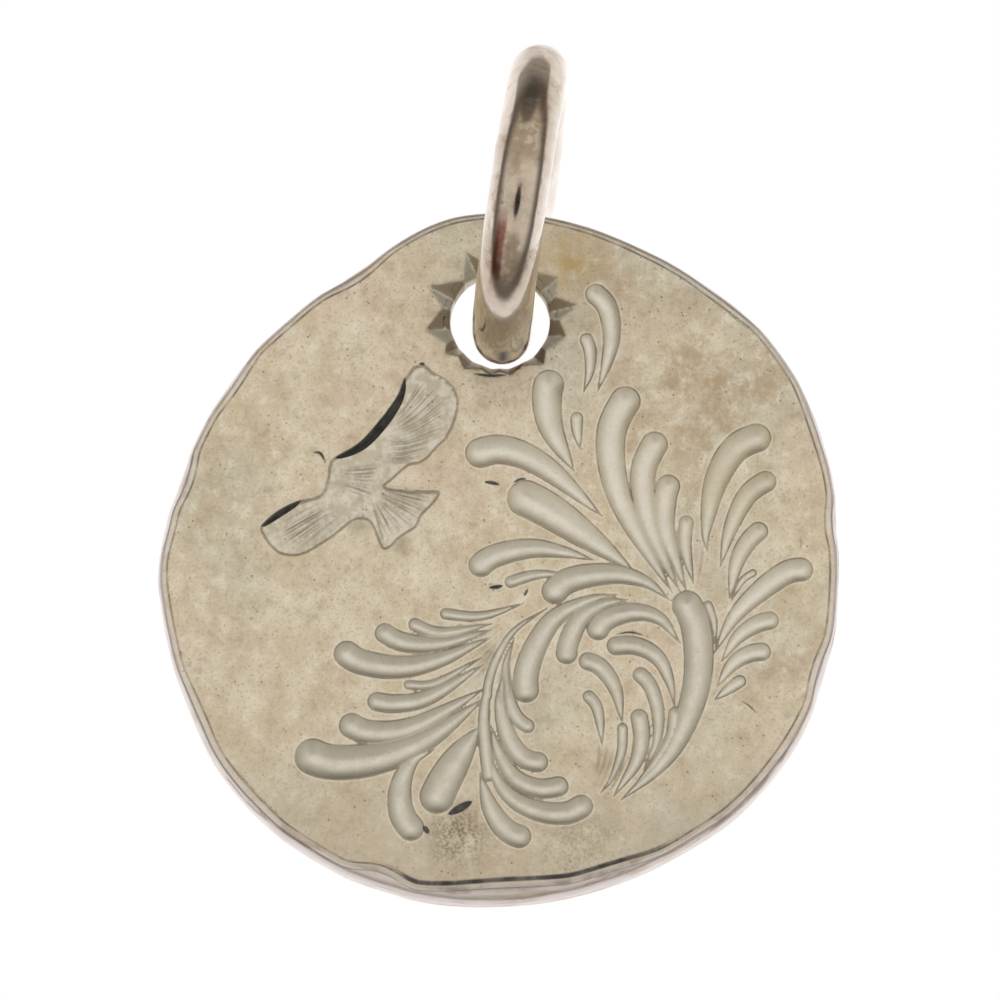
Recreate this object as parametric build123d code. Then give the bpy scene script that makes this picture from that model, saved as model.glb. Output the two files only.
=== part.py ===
from build123d import *
import os
from math import asin, cos, degrees, hypot, radians, sin, tan

# A hand-engraved silver medallion pendant with a round-wire hanging ring.
# Millimetres and degrees. The origin is on the flat back, at the disc's centre.
# +Z points to the hanging hole, +X to the right as the front is looked at, and
# +Y out of the back, so the engraved front faces -Y.

# Disc
DISC_THICKNESS = 2.1  # at the back pad
FRONT_EDGE_RADIUS = 0.55
BACK_EDGE_RADIUS = 0.45
DISC_RADIUS = 17.2  # the mean one
# The hammered rim, as (angle from +X towards +Z, how far it lies outside the mean radius).
RIM = (
    (0, -0.25), (20, 0.0), (40, 0.2), (60, -0.05), (80, 0.15), (90, 0.25), (101, 0.05),
    (112, -0.8), (124, -1.2), (140, -1.15), (158, -0.95), (171, -0.6), (183, -0.1), (201, 0.1),
    (221, 0.65), (241, 0.85), (260, 0.7), (280, 0.5), (300, 0.45), (319, 0.55), (340, 0.15),
)

# Hanging hole, with the chisel notches that star its front rim
HOLE_RADIUS = 2.5
HOLE_TO_RIM = 2.95  # metal left between the hole and the top of the rim
HOLE_EDGE_RADIUS = 0.25
NOTCH_DEPTH = 0.9  # at the bore wall
NOTCH_V_ANGLE = 90
# One notch each: (angle from +X towards +Z, how far its tip lies from the hole's wall).
NOTCHES = (
    (9, 1.5), (35, 1.1), (62, 1.2), (90, 1.2), (117, 1.3), (156, 1.5), (190, 1.35),
    (214, 0.85), (236, 0.7), (260, 0.5), (280, 0.5), (312, 0.8), (343, 1.0),
)

# Back pad: the flat middle of the back, which stands a touch proud of the hammered rest
PAD_RADIUS = 8.0
PAD_RISE = 0.05

# Ring of round wire, closed by one soldered seam behind the disc
WIRE_DIAMETER = 3.0
RING_INNER_DIAMETER = 10.2
SEAM_WIDTH = 0.12
SEAM_ANGLE = 20  # up from the ring's rearmost point
RING_TURN = 8.5  # how far the ring has swung sideways round the hole
RING_SHIFT = 0.2  # how far its wire has slid to the right of the hole's middle
STOP_CLEARANCE = 0.1  # left where the leaning wire meets the hole's two edges

# Engraving: how deep the gouged strokes and the sunk bird lie under the front
STROKE_DEPTH = 0.25
BIRD_DEPTH = 0.3
# Places below are (x, z) from the disc's centre, drawn for a disc of this mean radius. The
# ornament grows and shrinks with the disc.
DRAWN_RADIUS = 17.2
# Each gouged stroke: its round head, the middle of its curve, its pointed tail, its width.
UPPER_LEAVES = (
    ((4.7, 13.5), (6.0, 11.1), (4.9, 8.3), 1.1),
    ((4.2, 11.1), (4.4, 9.6), (4.2, 8.2), 0.6),
    ((2.8, 9.2), (2.2, 6.6), (3.8, 4.0), 1.4),
    ((3.9, 7.1), (3.8, 6.1), (4.0, 5.2), 0.6),
    ((7.0, 8.1), (5.9, 3.4), (8.5, -1.7), 1.4),
    ((8.1, 5.9), (7.1, 2.4), (8.8, -1.6), 1.2),
    ((8.8, 3.7), (8.1, 1.2), (9.1, -1.6), 1.0),
    ((9.5, 1.8), (9.3, 0.1), (9.6, -1.5), 0.6),
)
RIGHT_LEAVES = (
    ((13.4, 6.3), (10.9, 4.0), (10.2, 0.0), 1.4),
    ((13.6, 3.9), (11.7, 2.0), (10.9, -1.2), 1.0),
    ((13.2, 1.5), (12.0, 0.1), (11.4, -2.4), 0.8),
    ((15.4, -0.8), (12.9, -1.5), (11.2, -3.9), 1.0),
    ((13.9, -3.4), (12.3, -3.9), (11.1, -5.2), 0.7),
    ((13.5, -4.9), (12.1, -5.3), (10.9, -6.4), 0.6),
    ((12.2, -6.5), (11.4, -6.8), (10.8, -7.5), 0.5),
)
LEFT_LEAVES = (
    ((-1.6, 4.9), (1.9, 5.1), (5.1, 1.9), 1.4),
    ((0.5, 3.1), (3.6, 1.6), (6.4, -0.9), 1.7),
    ((-1.4, -1.3), (1.2, 0.1), (4.7, -0.5), 1.0),
)
SCROLL = (
    ((2.4, -2.3), (5.4, -0.9), (8.5, -2.2), 1.2),
    ((9.1, -2.1), (9.9, -7.8), (5.9, -12.6), 1.5),
    ((1.4, -7.4), (2.9, -4.0), (6.4, -2.2), 1.0),
    ((3.1, -5.8), (4.3, -3.9), (6.8, -3.0), 0.8),
    ((4.7, -4.6), (6.6, -3.8), (8.6, -4.9), 0.8),
    ((5.8, -5.4), (7.8, -6.0), (8.6, -7.6), 0.7),
    ((4.2, -6.2), (5.6, -7.2), (6.1, -9.2), 0.6),
    ((7.0, -6.8), (7.6, -8.2), (7.7, -9.9), 0.6),
    ((6.9, -8.9), (6.8, -10.2), (6.4, -11.6), 0.6),
)
LOWER_LEAVES = (
    ((-8.0, -4.9), (-4.9, -5.6), (-0.6, -4.4), 1.3),
    ((-6.1, -3.9), (-3.5, -4.3), (-0.9, -3.7), 0.8),
    ((-6.4, -7.6), (-3.8, -7.0), (-1.2, -5.6), 0.8),
    ((-7.8, -9.0), (-4.2, -8.4), (-0.9, -6.3), 1.2),
    ((-10.1, -10.5), (-5.6, -10.3), (-1.4, -7.2), 1.7),
    ((-4.2, -14.4), (-4.8, -12.4), (-3.4, -10.5), 1.1),
    ((-3.5, -13.1), (-2.0, -11.2), (-1.1, -8.2), 1.4),
    ((1.4, -14.7), (-0.5, -13.1), (-1.1, -10.8), 1.1),
    ((4.5, -12.6), (2.2, -13.0), (-0.1, -11.0), 1.2),
    ((3.3, -11.5), (1.5, -10.9), (0.0, -8.8), 0.9),
    ((2.4, -10.2), (1.1, -9.3), (0.1, -7.0), 0.8),
)
# The bird's outline: each wing and the tail as a closed run of (x, z) places.
BIRD_UPPER_WING = ((-3.9, 9.4), (-2.2, 7.8), (-3.9, 5.0), (-5.9, 3.4), (-8.0, 3.4), (-8.5, 4.6), (-5.6, 6.2))
BIRD_LOWER_WING = ((-8.0, 3.9), (-9.6, 2.5), (-12.0, 1.2), (-11.3, 0.1), (-9.8, 0.0), (-7.4, 1.6), (-6.4, 2.9))
BIRD_TAIL = ((-6.9, 3.4), (-3.2, 3.1), (-3.4, 1.8), (-4.6, 0.8), (-5.9, 0.1), (-7.0, 2.2))

# Worked out from the sizes above
ORNAMENT_SCALE = DISC_RADIUS / DRAWN_RADIUS
WIRE_RADIUS = WIRE_DIAMETER / 2
RING_MEAN_RADIUS = RING_INNER_DIAMETER / 2 + WIRE_RADIUS
RIM_TOP = DISC_RADIUS + dict(RIM)[90]
HOLE_Z = RIM_TOP - HOLE_TO_RIM - HOLE_RADIUS
# The ring leans forward until its wire meets the hole's lower front edge from outside and its
# upper back edge from inside. Each edge is a quarter round, whose centre lies this far from the
# hole's centre in the middle of the disc. The ring's centre lies where a circle about each meets.
EDGE_Y = DISC_THICKNESS / 2 - HOLE_EDGE_RADIUS
EDGE_Z = HOLE_RADIUS + HOLE_EDGE_RADIUS
LOWER_REACH = RING_MEAN_RADIUS + WIRE_RADIUS + HOLE_EDGE_RADIUS + STOP_CLEARANCE
UPPER_REACH = RING_MEAN_RADIUS - WIRE_RADIUS - HOLE_EDGE_RADIUS - STOP_CLEARANCE
EDGE_SPAN = 2 * hypot(EDGE_Y, EDGE_Z)
ALONG = (LOWER_REACH**2 - UPPER_REACH**2 + EDGE_SPAN**2) / (2 * EDGE_SPAN)
ACROSS = (LOWER_REACH**2 - ALONG**2) ** 0.5
FORWARD = EDGE_Y + (2 * EDGE_Z * ACROSS - 2 * EDGE_Y * ALONG) / EDGE_SPAN
UPWARD = (2 * EDGE_Z * ALONG + 2 * EDGE_Y * ACROSS) / EDGE_SPAN - EDGE_Z
LEAN = asin(FORWARD / RING_MEAN_RADIUS)
# The hinge of the ring: its wire's centre in the middle of the disc.
WIRE_DROP = RING_MEAN_RADIUS * cos(LEAN) - UPWARD
PIVOT = Vector(RING_SHIFT, -DISC_THICKNESS / 2, HOLE_Z - WIRE_DROP)
TURN = radians(RING_TURN)
HINGE_AXIS = Vector(cos(TURN), 0, -sin(TURN))
RING_UP = Vector(sin(TURN) * cos(LEAN), -sin(LEAN), cos(TURN) * cos(LEAN))
RING_CENTRE = PIVOT + RING_UP * RING_MEAN_RADIUS


def at_angle(radius, angle):
    """The place at this distance and angle from +X towards +Z, in the disc's plane."""
    return (radius * cos(radians(angle)), radius * sin(radians(angle)))


def rim_outline():
    """The disc's irregular outline, one closed smooth curve."""
    places = [at_angle(DISC_RADIUS + offset, angle) for angle, offset in RIM]
    return make_face(Spline(*places, periodic=True))


def disc_blank():
    """The flat disc with its bore, all four edges rounded."""
    hammered_back = Plane(origin=(0, -PAD_RISE, 0), x_dir=(1, 0, 0), z_dir=(0, -1, 0))
    blank = extrude(hammered_back * rim_outline(), amount=DISC_THICKNESS - PAD_RISE)
    front_rim = blank.edges().group_by(Axis.Y)[0]
    blank = fillet(front_rim, FRONT_EDGE_RADIUS)
    back_rim = blank.edges().group_by(Axis.Y)[-1]
    blank = fillet(back_rim, BACK_EDGE_RADIUS)
    bore_plane = Plane(origin=(0, 0, HOLE_Z), x_dir=(1, 0, 0), z_dir=(0, -1, 0))
    bore = extrude(bore_plane * Circle(HOLE_RADIUS), amount=2 * DISC_THICKNESS, both=True)
    blank = blank - bore
    bore_edges = blank.edges().filter_by(GeomType.CIRCLE)
    return fillet(bore_edges, HOLE_EDGE_RADIUS)


def notch_cutter(angle, reach):
    """One V-shaped chisel cut that runs from the front face down to the bore wall."""
    across, up = at_angle(1, angle)
    outward = Vector(across, 0, up)
    tip = outward * (HOLE_RADIUS + reach) + Vector(0, -DISC_THICKNESS, HOLE_Z)
    slope = (outward * reach - Vector(0, NOTCH_DEPTH, 0)).normalized()
    sideways = Vector(-up, 0, across)
    opening = slope.cross(sideways)
    if opening.Y > 0:
        sideways = sideways * -1
    height = HOLE_RADIUS
    half_width = height * tan(radians(NOTCH_V_ANGLE / 2))
    profile = Polygon((0, 0), (half_width, height), (-half_width, height), align=None)
    return extrude(Plane(origin=tip, x_dir=sideways, z_dir=slope) * profile, amount=HOLE_RADIUS, both=True)


def stroke_outline(head, middle, tail, width):
    """One stroke of the graver: a round head that runs out to a pointed tail."""
    head, middle, tail = (Vector(*place) * ORNAMENT_SCALE for place in (head, middle, tail))
    width = width * ORNAMENT_SCALE
    start_way = (middle - head).normalized()
    whole_way = (tail - head).normalized()
    start_side = Vector(-start_way.Y, start_way.X) * (width / 2)
    middle_side = Vector(-whole_way.Y, whole_way.X) * (width * 0.4)
    neck = head + start_way * (width / 2)
    one_side = ThreePointArc(neck + start_side, middle + middle_side, tail)
    other_side = ThreePointArc(tail, middle - middle_side, neck - start_side)
    round_head = ThreePointArc(neck - start_side, head, neck + start_side)
    return make_face(Curve() + [one_side, other_side, round_head])


def cut_from_front(outline, depth):
    """A straight-sided cutter of this outline, sunk this deep into the front face."""
    front = Plane(origin=(0, -DISC_THICKNESS, 0), x_dir=(1, 0, 0), z_dir=(0, -1, 0))
    return extrude(front * outline, amount=depth, both=True)


def engraving_cutters():
    """Every stroke of the scroll and its leaves."""
    strokes = UPPER_LEAVES + RIGHT_LEAVES + LEFT_LEAVES + SCROLL + LOWER_LEAVES
    return [cut_from_front(stroke_outline(*stroke), STROKE_DEPTH) for stroke in strokes]


def bird_cutter():
    """The sunk bird in flight: two wings and a fanned tail, joined to one hollow."""
    cutter = None
    for places in (BIRD_UPPER_WING, BIRD_LOWER_WING, BIRD_TAIL):
        outline = [Vector(*place) * ORNAMENT_SCALE for place in places]
        hollow = cut_from_front(make_face(Spline(*outline, periodic=True)), BIRD_DEPTH)
        cutter = hollow if cutter is None else cutter + hollow
    return cutter


def medallion_disc():
    """The disc with its hole, notches, engraving, bird and back pad."""
    disc = disc_blank()
    for angle, reach in NOTCHES:
        disc = disc - notch_cutter(angle, reach)
    disc = disc - bird_cutter()
    for cutter in engraving_cutters():
        disc = disc - cutter
    pad = extrude(Plane.XZ * Circle(PAD_RADIUS), amount=DISC_THICKNESS / 2)
    return disc + pad


def ring_arc(start_way, arc):
    """A stretch of the ring's wire, from one way out of its centre through this many degrees."""
    plane = Plane(origin=RING_CENTRE, x_dir=start_way, z_dir=HINGE_AXIS)
    return plane * Torus(RING_MEAN_RADIUS, WIRE_RADIUS, major_angle=arc, align=None)


def seam_edges():
    """The ways from the ring's centre to the seam's two faces, and the seam's angle."""
    seam_arc = degrees(SEAM_WIDTH / RING_MEAN_RADIUS)
    rearmost = HINGE_AXIS.cross(RING_UP)
    if rearmost.Y < 0:
        rearmost = rearmost * -1
    start = rearmost.rotate(Axis((0, 0, 0), tuple(HINGE_AXIS)), SEAM_ANGLE)
    finish = rearmost.rotate(Axis((0, 0, 0), tuple(HINGE_AXIS)), SEAM_ANGLE + seam_arc)
    return start, finish, seam_arc


def hanging_ring():
    """The round wire, bent to a ring and open by the seam's width."""
    _, finish, seam_arc = seam_edges()
    return ring_arc(finish, 360 - seam_arc)


def ring_solder_seam():
    """The thin plate of solder that closes the ring."""
    start, _, seam_arc = seam_edges()
    return ring_arc(start, seam_arc)


os.makedirs("parts", exist_ok=True)
PARTS = {
    "medallion_disc": medallion_disc,
    "hanging_ring": hanging_ring,
    "ring_solder_seam": ring_solder_seam,
}
for name, make in PARTS.items():
    solid = make()
    solid.label = name
    export_step(solid, f"parts/{name}.step")
print("hole centre z", round(HOLE_Z, 3), "lean", round(degrees(LEAN), 2))
print("ring pivot", tuple(round(value, 3) for value in PIVOT))
print("ring centre", tuple(round(value, 3) for value in RING_CENTRE))
print("hinge axis", tuple(round(value, 4) for value in HINGE_AXIS))
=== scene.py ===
"""Looks of a hand-engraved silver medallion with a round-wire hanging ring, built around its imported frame."""

import logging
from dataclasses import dataclass, field
from enum import Enum
from functools import reduce
from math import cos, pi, radians, sin
from typing import Any, Iterable

import bmesh
import bpy
import numpy as np
from mathutils import Matrix, Vector, noise


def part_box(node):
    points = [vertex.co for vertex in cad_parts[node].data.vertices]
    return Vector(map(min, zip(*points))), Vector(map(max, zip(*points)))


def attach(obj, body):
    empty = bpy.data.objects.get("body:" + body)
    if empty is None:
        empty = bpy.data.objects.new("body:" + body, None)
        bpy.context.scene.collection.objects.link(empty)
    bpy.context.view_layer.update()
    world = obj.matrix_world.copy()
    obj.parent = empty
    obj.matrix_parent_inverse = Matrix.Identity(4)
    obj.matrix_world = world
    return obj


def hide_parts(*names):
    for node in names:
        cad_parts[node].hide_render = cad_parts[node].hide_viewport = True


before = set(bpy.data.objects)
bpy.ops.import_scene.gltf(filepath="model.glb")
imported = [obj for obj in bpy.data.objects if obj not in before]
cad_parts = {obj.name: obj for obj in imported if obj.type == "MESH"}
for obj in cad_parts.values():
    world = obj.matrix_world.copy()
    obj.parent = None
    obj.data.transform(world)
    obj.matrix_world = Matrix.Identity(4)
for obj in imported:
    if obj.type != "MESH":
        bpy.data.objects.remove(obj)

LOG = logging.getLogger("medallion")
MM = 0.001  # the tables below are in millimetres, the scene in metres
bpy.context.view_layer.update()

FAR = 9.0  # stands for "nowhere near", in millimetres

Point = tuple[float, float]
Colour = tuple[float, float, float]
Patch = tuple[Point, float, float, float]  # its middle, its size, the width of its edge, its strength


# ---------------------------------------------------------------------------
# Shader values
# ---------------------------------------------------------------------------


class Value:
    """A shader socket that Python's operators work on."""

    def __init__(self, graph: "Graph", socket: bpy.types.NodeSocket | None) -> None:
        """Wraps one output socket of a graph, or nothing where the node is the graph's end."""
        self.graph = graph
        self.socket = socket

    def math(self, operation: str, *others: "Value | float", clamp: bool = False) -> "Value":
        """Adds one Math node.

        Args:
            operation: the Math node's operation.
            others: its second and third inputs.
            clamp: whether the result is kept in 0 to 1.

        Returns:
            The node's result.
        """
        values = {0: self, **{i + 1: o for i, o in enumerate(others)}}
        return self.graph.node("ShaderNodeMath", {"operation": operation, "use_clamp": clamp}, values)

    def __add__(self, other: "Value | float") -> "Value":
        """self + other."""
        return self.math("ADD", other)

    __radd__ = __add__

    def __sub__(self, other: "Value | float") -> "Value":
        """self - other."""
        return self.math("SUBTRACT", other)

    def __rsub__(self, other: float) -> "Value":
        """other - self."""
        return self.math("MULTIPLY_ADD", -1.0, other)

    def __mul__(self, other: "Value | float") -> "Value":
        """self * other."""
        return self.math("MULTIPLY", other)

    __rmul__ = __mul__

    def __pow__(self, other: float) -> "Value":
        """self to the power of other."""
        return self.math("POWER", other)

    def __abs__(self) -> "Value":
        """The size of self without its sign."""
        return self.math("ABSOLUTE")

    def over(self, other: "Value | float") -> "Value":
        """The larger of the two."""
        return self.math("MAXIMUM", other)

    def clipped(self) -> "Value":
        """self kept in 0 to 1."""
        return self.math("ADD", 0.0, clamp=True)

    def ramp(self, low: float, high: float) -> "Value":
        """A smooth step of self.

        Args:
            low: where the step starts, at 0.
            high: where it ends, at 1; below low, the step runs down.

        Returns:
            The stepped value.
        """
        ends = (low, high, 0.0, 1.0) if low < high else (high, low, 1.0, 0.0)
        return self.graph.node(
            "ShaderNodeMapRange",
            {"interpolation_type": "SMOOTHSTEP"},
            {0: self, 1: ends[0], 2: ends[1], 3: ends[2], 4: ends[3]},
        )


class Graph:
    """A node tree that is written as expressions."""

    def __init__(self, tree: bpy.types.NodeTree) -> None:
        """Starts an empty tree."""
        self.tree = tree
        tree.nodes.clear()

    def node(self, kind: str, settings: dict[str, Any], inputs: dict[Any, Any], output: Any = 0) -> Value:
        """Adds any node.

        Args:
            kind: the node's type.
            settings: its own properties, set before its sockets.
            inputs: a value or a link for each socket, by index or name.
            output: the wanted output socket, which an output node doesn't have.

        Returns:
            That output.
        """
        made = self.tree.nodes.new(kind)
        for name, value in settings.items():
            setattr(made, name, value)
        for name, value in inputs.items():
            if isinstance(value, Value):
                self.tree.links.new(value.socket, made.inputs[name])
            else:
                made.inputs[name].default_value = value
        return Value(self, made.outputs[output] if made.outputs else None)

    def blend(self, factor: Value | float, low: Any, high: Any) -> Value:
        """Mixes two colours.

        Args:
            factor: how much of the second.
            low: the first colour, or a link to one.
            high: the second.

        Returns:
            The mixed colour.
        """
        ends = [c if isinstance(c, Value) else (*c, 1.0) for c in (low, high)]
        return self.node("ShaderNodeMix", {"data_type": "RGBA"}, {0: factor, 6: ends[0], 7: ends[1]}, 2)

    def layers(self, colour: Any, *coats: tuple[Value, Any]) -> Value:
        """Lays colours over one another.

        Args:
            colour: the lowest colour.
            coats: how much of each next colour, and that colour.

        Returns:
            The mixed colour.
        """
        for factor, coat in coats:
            colour = self.blend(factor, colour, coat)
        return colour

    def attribute(self, name: str) -> Value:
        """A number that the mesh stores at each vertex."""
        return self.node("ShaderNodeAttribute", {"attribute_name": name}, {}, "Fac")

    def place(self) -> Value:
        """The point on the piece, in the row frame."""
        return self.node("ShaderNodeTexCoord", {}, {}, "Object")

    def axes(self, point: Value) -> tuple[Value, Value, Value]:
        """A point's three coordinates in millimetres.

        Args:
            point: the point, in metres.

        Returns:
            x, y and z.
        """
        return tuple(self.node("ShaderNodeSeparateXYZ", {}, {0: point}, i) * (1 / MM) for i in range(3))

    def cloud(self, point: Value, size: float, detail: float = 3.0, rough: float = 0.55, seed: float = 0.0) -> Value:
        """Smooth noise around one half.

        Args:
            point: where it is read.
            size: its largest blotches, in millimetres.
            detail: how many finer octaves it has.
            rough: how strong these are.
            seed: another number gives another pattern.

        Returns:
            The noise.
        """
        return self.node(
            "ShaderNodeTexNoise",
            {"noise_dimensions": "4D"},
            {"Vector": point, "W": seed, "Scale": 1.0 / (size * MM), "Detail": detail, "Roughness": rough},
        )

    def hairs(self, point: Value, scale: float, detail: float) -> Value:
        """Fine noise, read at a stretched point so that it lies in hair lines.

        Args:
            point: the stretched point.
            scale: how fine the lines are, per metre.
            detail: how many finer octaves they have.

        Returns:
            The noise.
        """
        return self.node(
            "ShaderNodeTexNoise", {"noise_dimensions": "3D"}, {"Vector": point, "Scale": scale, "Detail": detail}
        )

    def stretched(self, point: Value, scale: tuple[float, float, float], turn: float = 0.0) -> Value:
        """A point turned about Y and scaled along each axis.

        Args:
            point: the point.
            scale: how far each axis is scaled; a larger number gives a finer pattern along it.
            turn: the turn about Y, in radians.

        Returns:
            The new point.
        """
        return self.node("ShaderNodeMapping", {}, {0: point, "Rotation": (0.0, turn, 0.0), "Scale": scale})

    def cells(self, point: Value, size: float) -> Value:
        """Distance to the nearest of many scattered points.

        Args:
            point: where it is read.
            size: the points' mean spacing, in millimetres.

        Returns:
            The distance, in spacings.
        """
        return self.node("ShaderNodeTexVoronoi", {"feature": "F1"}, {"Vector": point, "Scale": 1.0 / (size * MM)})

    def spot(self, x: Value, z: Value, centre: Point, radius: float, soft: float) -> Value:
        """A soft round patch on the face.

        Args:
            x: the point's x, in millimetres.
            z: its z.
            centre: the patch's middle.
            radius: its size.
            soft: the width of its edge.

        Returns:
            1 inside, 0 outside.
        """
        dx, dz = x - centre[0], z - centre[1]
        return (dx * dx + dz * dz).math("SQRT").ramp(radius + soft, radius - soft)

    def patches(self, x: Value, z: Value, places: Iterable[Patch]) -> Value:
        """Several soft round patches; where they meet, the stronger shows.

        Args:
            x: the point's x, in millimetres.
            z: its z.
            places: the patches.

        Returns:
            0 outside them all.
        """
        spots = [self.spot(x, z, centre, radius, soft) * strength for centre, radius, soft, strength in places]
        return reduce(Value.over, spots)

    def bump(self, height: Value, distance: float, strength: float) -> Value:
        """A normal from a height.

        Args:
            height: the height, around 0 to 1.
            distance: what 1 stands for, in millimetres.
            strength: how much of it shows.

        Returns:
            The normal.
        """
        return self.node("ShaderNodeBump", {}, {"Strength": strength, "Distance": distance * MM, "Height": height})


# ---------------------------------------------------------------------------
# Finishes
# ---------------------------------------------------------------------------


def surface(name: str) -> tuple[bpy.types.Material, Graph]:
    """An empty material.

    Args:
        name: its name.

    Returns:
        The material and its graph.
    """
    material = bpy.data.materials.new(name)
    material.use_nodes = True
    return material, Graph(material.node_tree)


def shade(graph: Graph, colour: Value, metal: Value | float, rough: Value | float, normal: Value | None = None) -> None:
    """Ends a graph in one Principled shader.

    Args:
        graph: the material's graph.
        colour: its base colour.
        metal: how metallic it is.
        rough: its roughness.
        normal: its bump, if it has one.
    """
    inputs = {"Base Color": colour, "Metallic": metal, "Roughness": rough}
    if normal is not None:
        inputs["Normal"] = normal
    shader = graph.node("ShaderNodeBsdfPrincipled", {}, inputs)
    graph.node("ShaderNodeOutputMaterial", {}, {0: shader})


class Reading:
    """What the disc's finish reads at each point: its place, the marks on the mesh, and noise of several sizes."""

    def __init__(self, g: Graph) -> None:
        """Adds the nodes to the finish's graph."""
        self.p = g.place()
        self.x, self.y, self.z = g.axes(self.p)
        self.edge, self.bird, self.black_and_shade, self.barb = (g.attribute(name) for name in ("edge", "bird", "black_and_shade", "barb"))
        self.core, self.lip, self.wall = (g.attribute(name) for name in ("core", "lip", "wall"))
        self.cut = self.edge.ramp(-0.01, 0.04)
        self.carved = self.bird.ramp(0.0, 0.10)
        self.notch = g.attribute("notch").ramp(0.0, 0.05)
        self.broad = g.cloud(self.p, 9.0, 2.0, 0.5, 1.0)
        self.mottle = g.cloud(self.p, 2.6, 5.0, 0.62, 4.0)
        self.smudge = g.cloud(self.p, 0.8, 5.0, 0.7, 12.0)
        self.fine = g.cloud(self.p, 0.55, 4.0, 0.6, 9.0)
        self.grit = g.cloud(self.p, 0.16, 3.0, 0.6, 2.5)
        self.lap = g.cloud(g.stretched(self.p, (1.0, 7.0, 1.0)), 3.0, 4.0, 0.6, 8.0)


@dataclass(frozen=True)
class EngravedSilver:
    """Old hand-worked silver: a hazy warm skin, cleaner cuts, oxide left in every corner, and light and shade painted
    into its colour.
    """

    skin: Colour = (0.72, 0.63, 0.475)
    pale: Colour = (0.83, 0.765, 0.625)
    brown: Colour = (0.52, 0.40, 0.26)
    gold: Colour = (0.55, 0.39, 0.15)
    olive: Colour = (0.50, 0.43, 0.28)
    rose: Colour = (0.80, 0.66, 0.55)
    cold: Colour = (0.60, 0.595, 0.505)
    smudge: Colour = (0.43, 0.355, 0.26)
    # a pale haze, and also the painted highlight along the cuts' burrs
    bloom_and_sheen: Colour = (0.90, 0.86, 0.76)
    shadow: Colour = (0.50, 0.435, 0.35)
    cut: Colour = (0.56, 0.52, 0.42)
    # painted shade: the lower strokes are darkened towards this colour
    painted_cut_shade: Colour = (0.42, 0.40, 0.34)
    # bright: the painted highlight in the cuts and on the notches' lit facets, and the bird's paler tone
    bright: Colour = (0.80, 0.775, 0.70)
    wall: Colour = (0.72, 0.675, 0.66)
    fold: Colour = (0.33, 0.26, 0.24)
    seam: Colour = (0.13, 0.105, 0.095)
    # also the painted shade in the wings' deep slots
    oxide_and_shade: Colour = (0.035, 0.037, 0.038)
    grime: Colour = (0.15, 0.12, 0.08)
    pit: Colour = (0.17, 0.13, 0.09)
    # the shaded side of the notches' painted facet light
    facet: Colour = (0.40, 0.34, 0.25)
    stains: tuple[Patch, ...] = (
        ((11.0, 8.0), 4.0, 4.5, 1.0), ((14.0, -6.5), 1.6, 3.0, 0.8), ((-12.0, 4.0), 2.0, 3.5, 0.45),
        ((-3.5, 15.0), 1.5, 3.0, 0.7), ((6.0, 14.0), 1.5, 3.5, 0.6), ((-1.0, -14.5), 1.0, 2.5, 0.8),
        ((-14.4, 2.4), 0.6, 1.8, 1.0),
    )  # fmt: skip
    soil: tuple[Patch, ...] = (((-2.2, -14.4), 0.9, 1.6, 1.0), ((4.0, -14.8), 1.0, 2.4, 0.4))
    # painted shadow: dark patches beside the wing's lower edge
    wing_shadow: tuple[Patch, ...] = (((-7.0, 1.3), 0.25, 0.7, 1.0), ((-5.0, 0.3), 0.2, 0.6, 1.0))

    def skin_tone(self, g: Graph, r: Reading) -> Value:
        """The colour of the front and the back between the cuts.

        Args:
            g: the finish's graph.
            r: what it reads.

        Returns:
            The colour.
        """
        face, rear = r.y.ramp(-1.0, -1.8), r.y.ramp(-0.5, -0.15)
        stain = (g.patches(r.x, r.z, self.stains) * 0.75 + 0.16) * g.cloud(r.p, 1.9, 5.0, 0.68, 2.0).ramp(0.44, 0.63)
        halo = face * g.spot(r.x, r.z, (3.6, 14.8), 1.0, 1.6) * g.cloud(r.p, 1.0, 4.0, 0.6, 3.0).ramp(0.32, 0.55)
        soil = face * g.patches(r.x, r.z, self.soil) * r.grit.ramp(0.36, 0.58) * r.smudge.ramp(0.34, 0.52)
        # painted shadow beside the wing, outside the bird's outline
        under = face * g.patches(r.x, r.z, self.wing_shadow) * r.bird.ramp(0.03, -0.03)
        frost = face * g.spot(r.x, r.z, (-4.6, -14.6), 0.8, 1.4) * r.grit.ramp(0.48, 0.58)
        return g.layers(
            self.skin,
            (r.mottle.ramp(0.40, 0.66), self.pale),
            (r.broad.ramp(0.55, 0.36) * 0.5, self.cold),
            (g.cloud(r.p, 3.6, 3.0, 0.55, 21.0).ramp(0.52, 0.66) * 0.35, self.rose),
            (stain, self.brown),
            (r.smudge.ramp(0.50, 0.70) * 0.42, self.smudge),
            (r.smudge.ramp(0.50, 0.30) * 0.60, self.bloom_and_sheen),
            (r.grit.ramp(0.50, 0.68) * 0.42, self.smudge),
            (halo * 0.9, self.gold),
            (r.z.ramp(-6.0, -17.0) * 0.40, self.shadow),
            (rear * r.core.ramp(0.75, 0.0) * 0.26, self.smudge),
            (rear * r.core.ramp(0.55, 1.0) * 0.25, self.bloom_and_sheen),
            (soil * 0.9, self.grime),
            # painted shadow beside the wing, in the grime colour
            (under * 0.5, self.grime),
            (frost * 0.5, self.bloom_and_sheen),
        )

    def cut_tone(self, g: Graph, r: Reading) -> Value:
        """The colour of a gouged stroke, with a painted highlight along its middle and painted shade on the lower
        strokes.

        Args:
            g: the finish's graph.
            r: what it reads.

        Returns:
            The colour.
        """
        # painted highlight: each stroke is painted paler along its middle line
        streak = (r.core ** 2.6) * (0.45 + r.fine * 1.1)
        olive = g.spot(r.x, r.z, (11.8, 3.6), 2.5, 3.5) * (0.75 - streak * 0.3)
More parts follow.
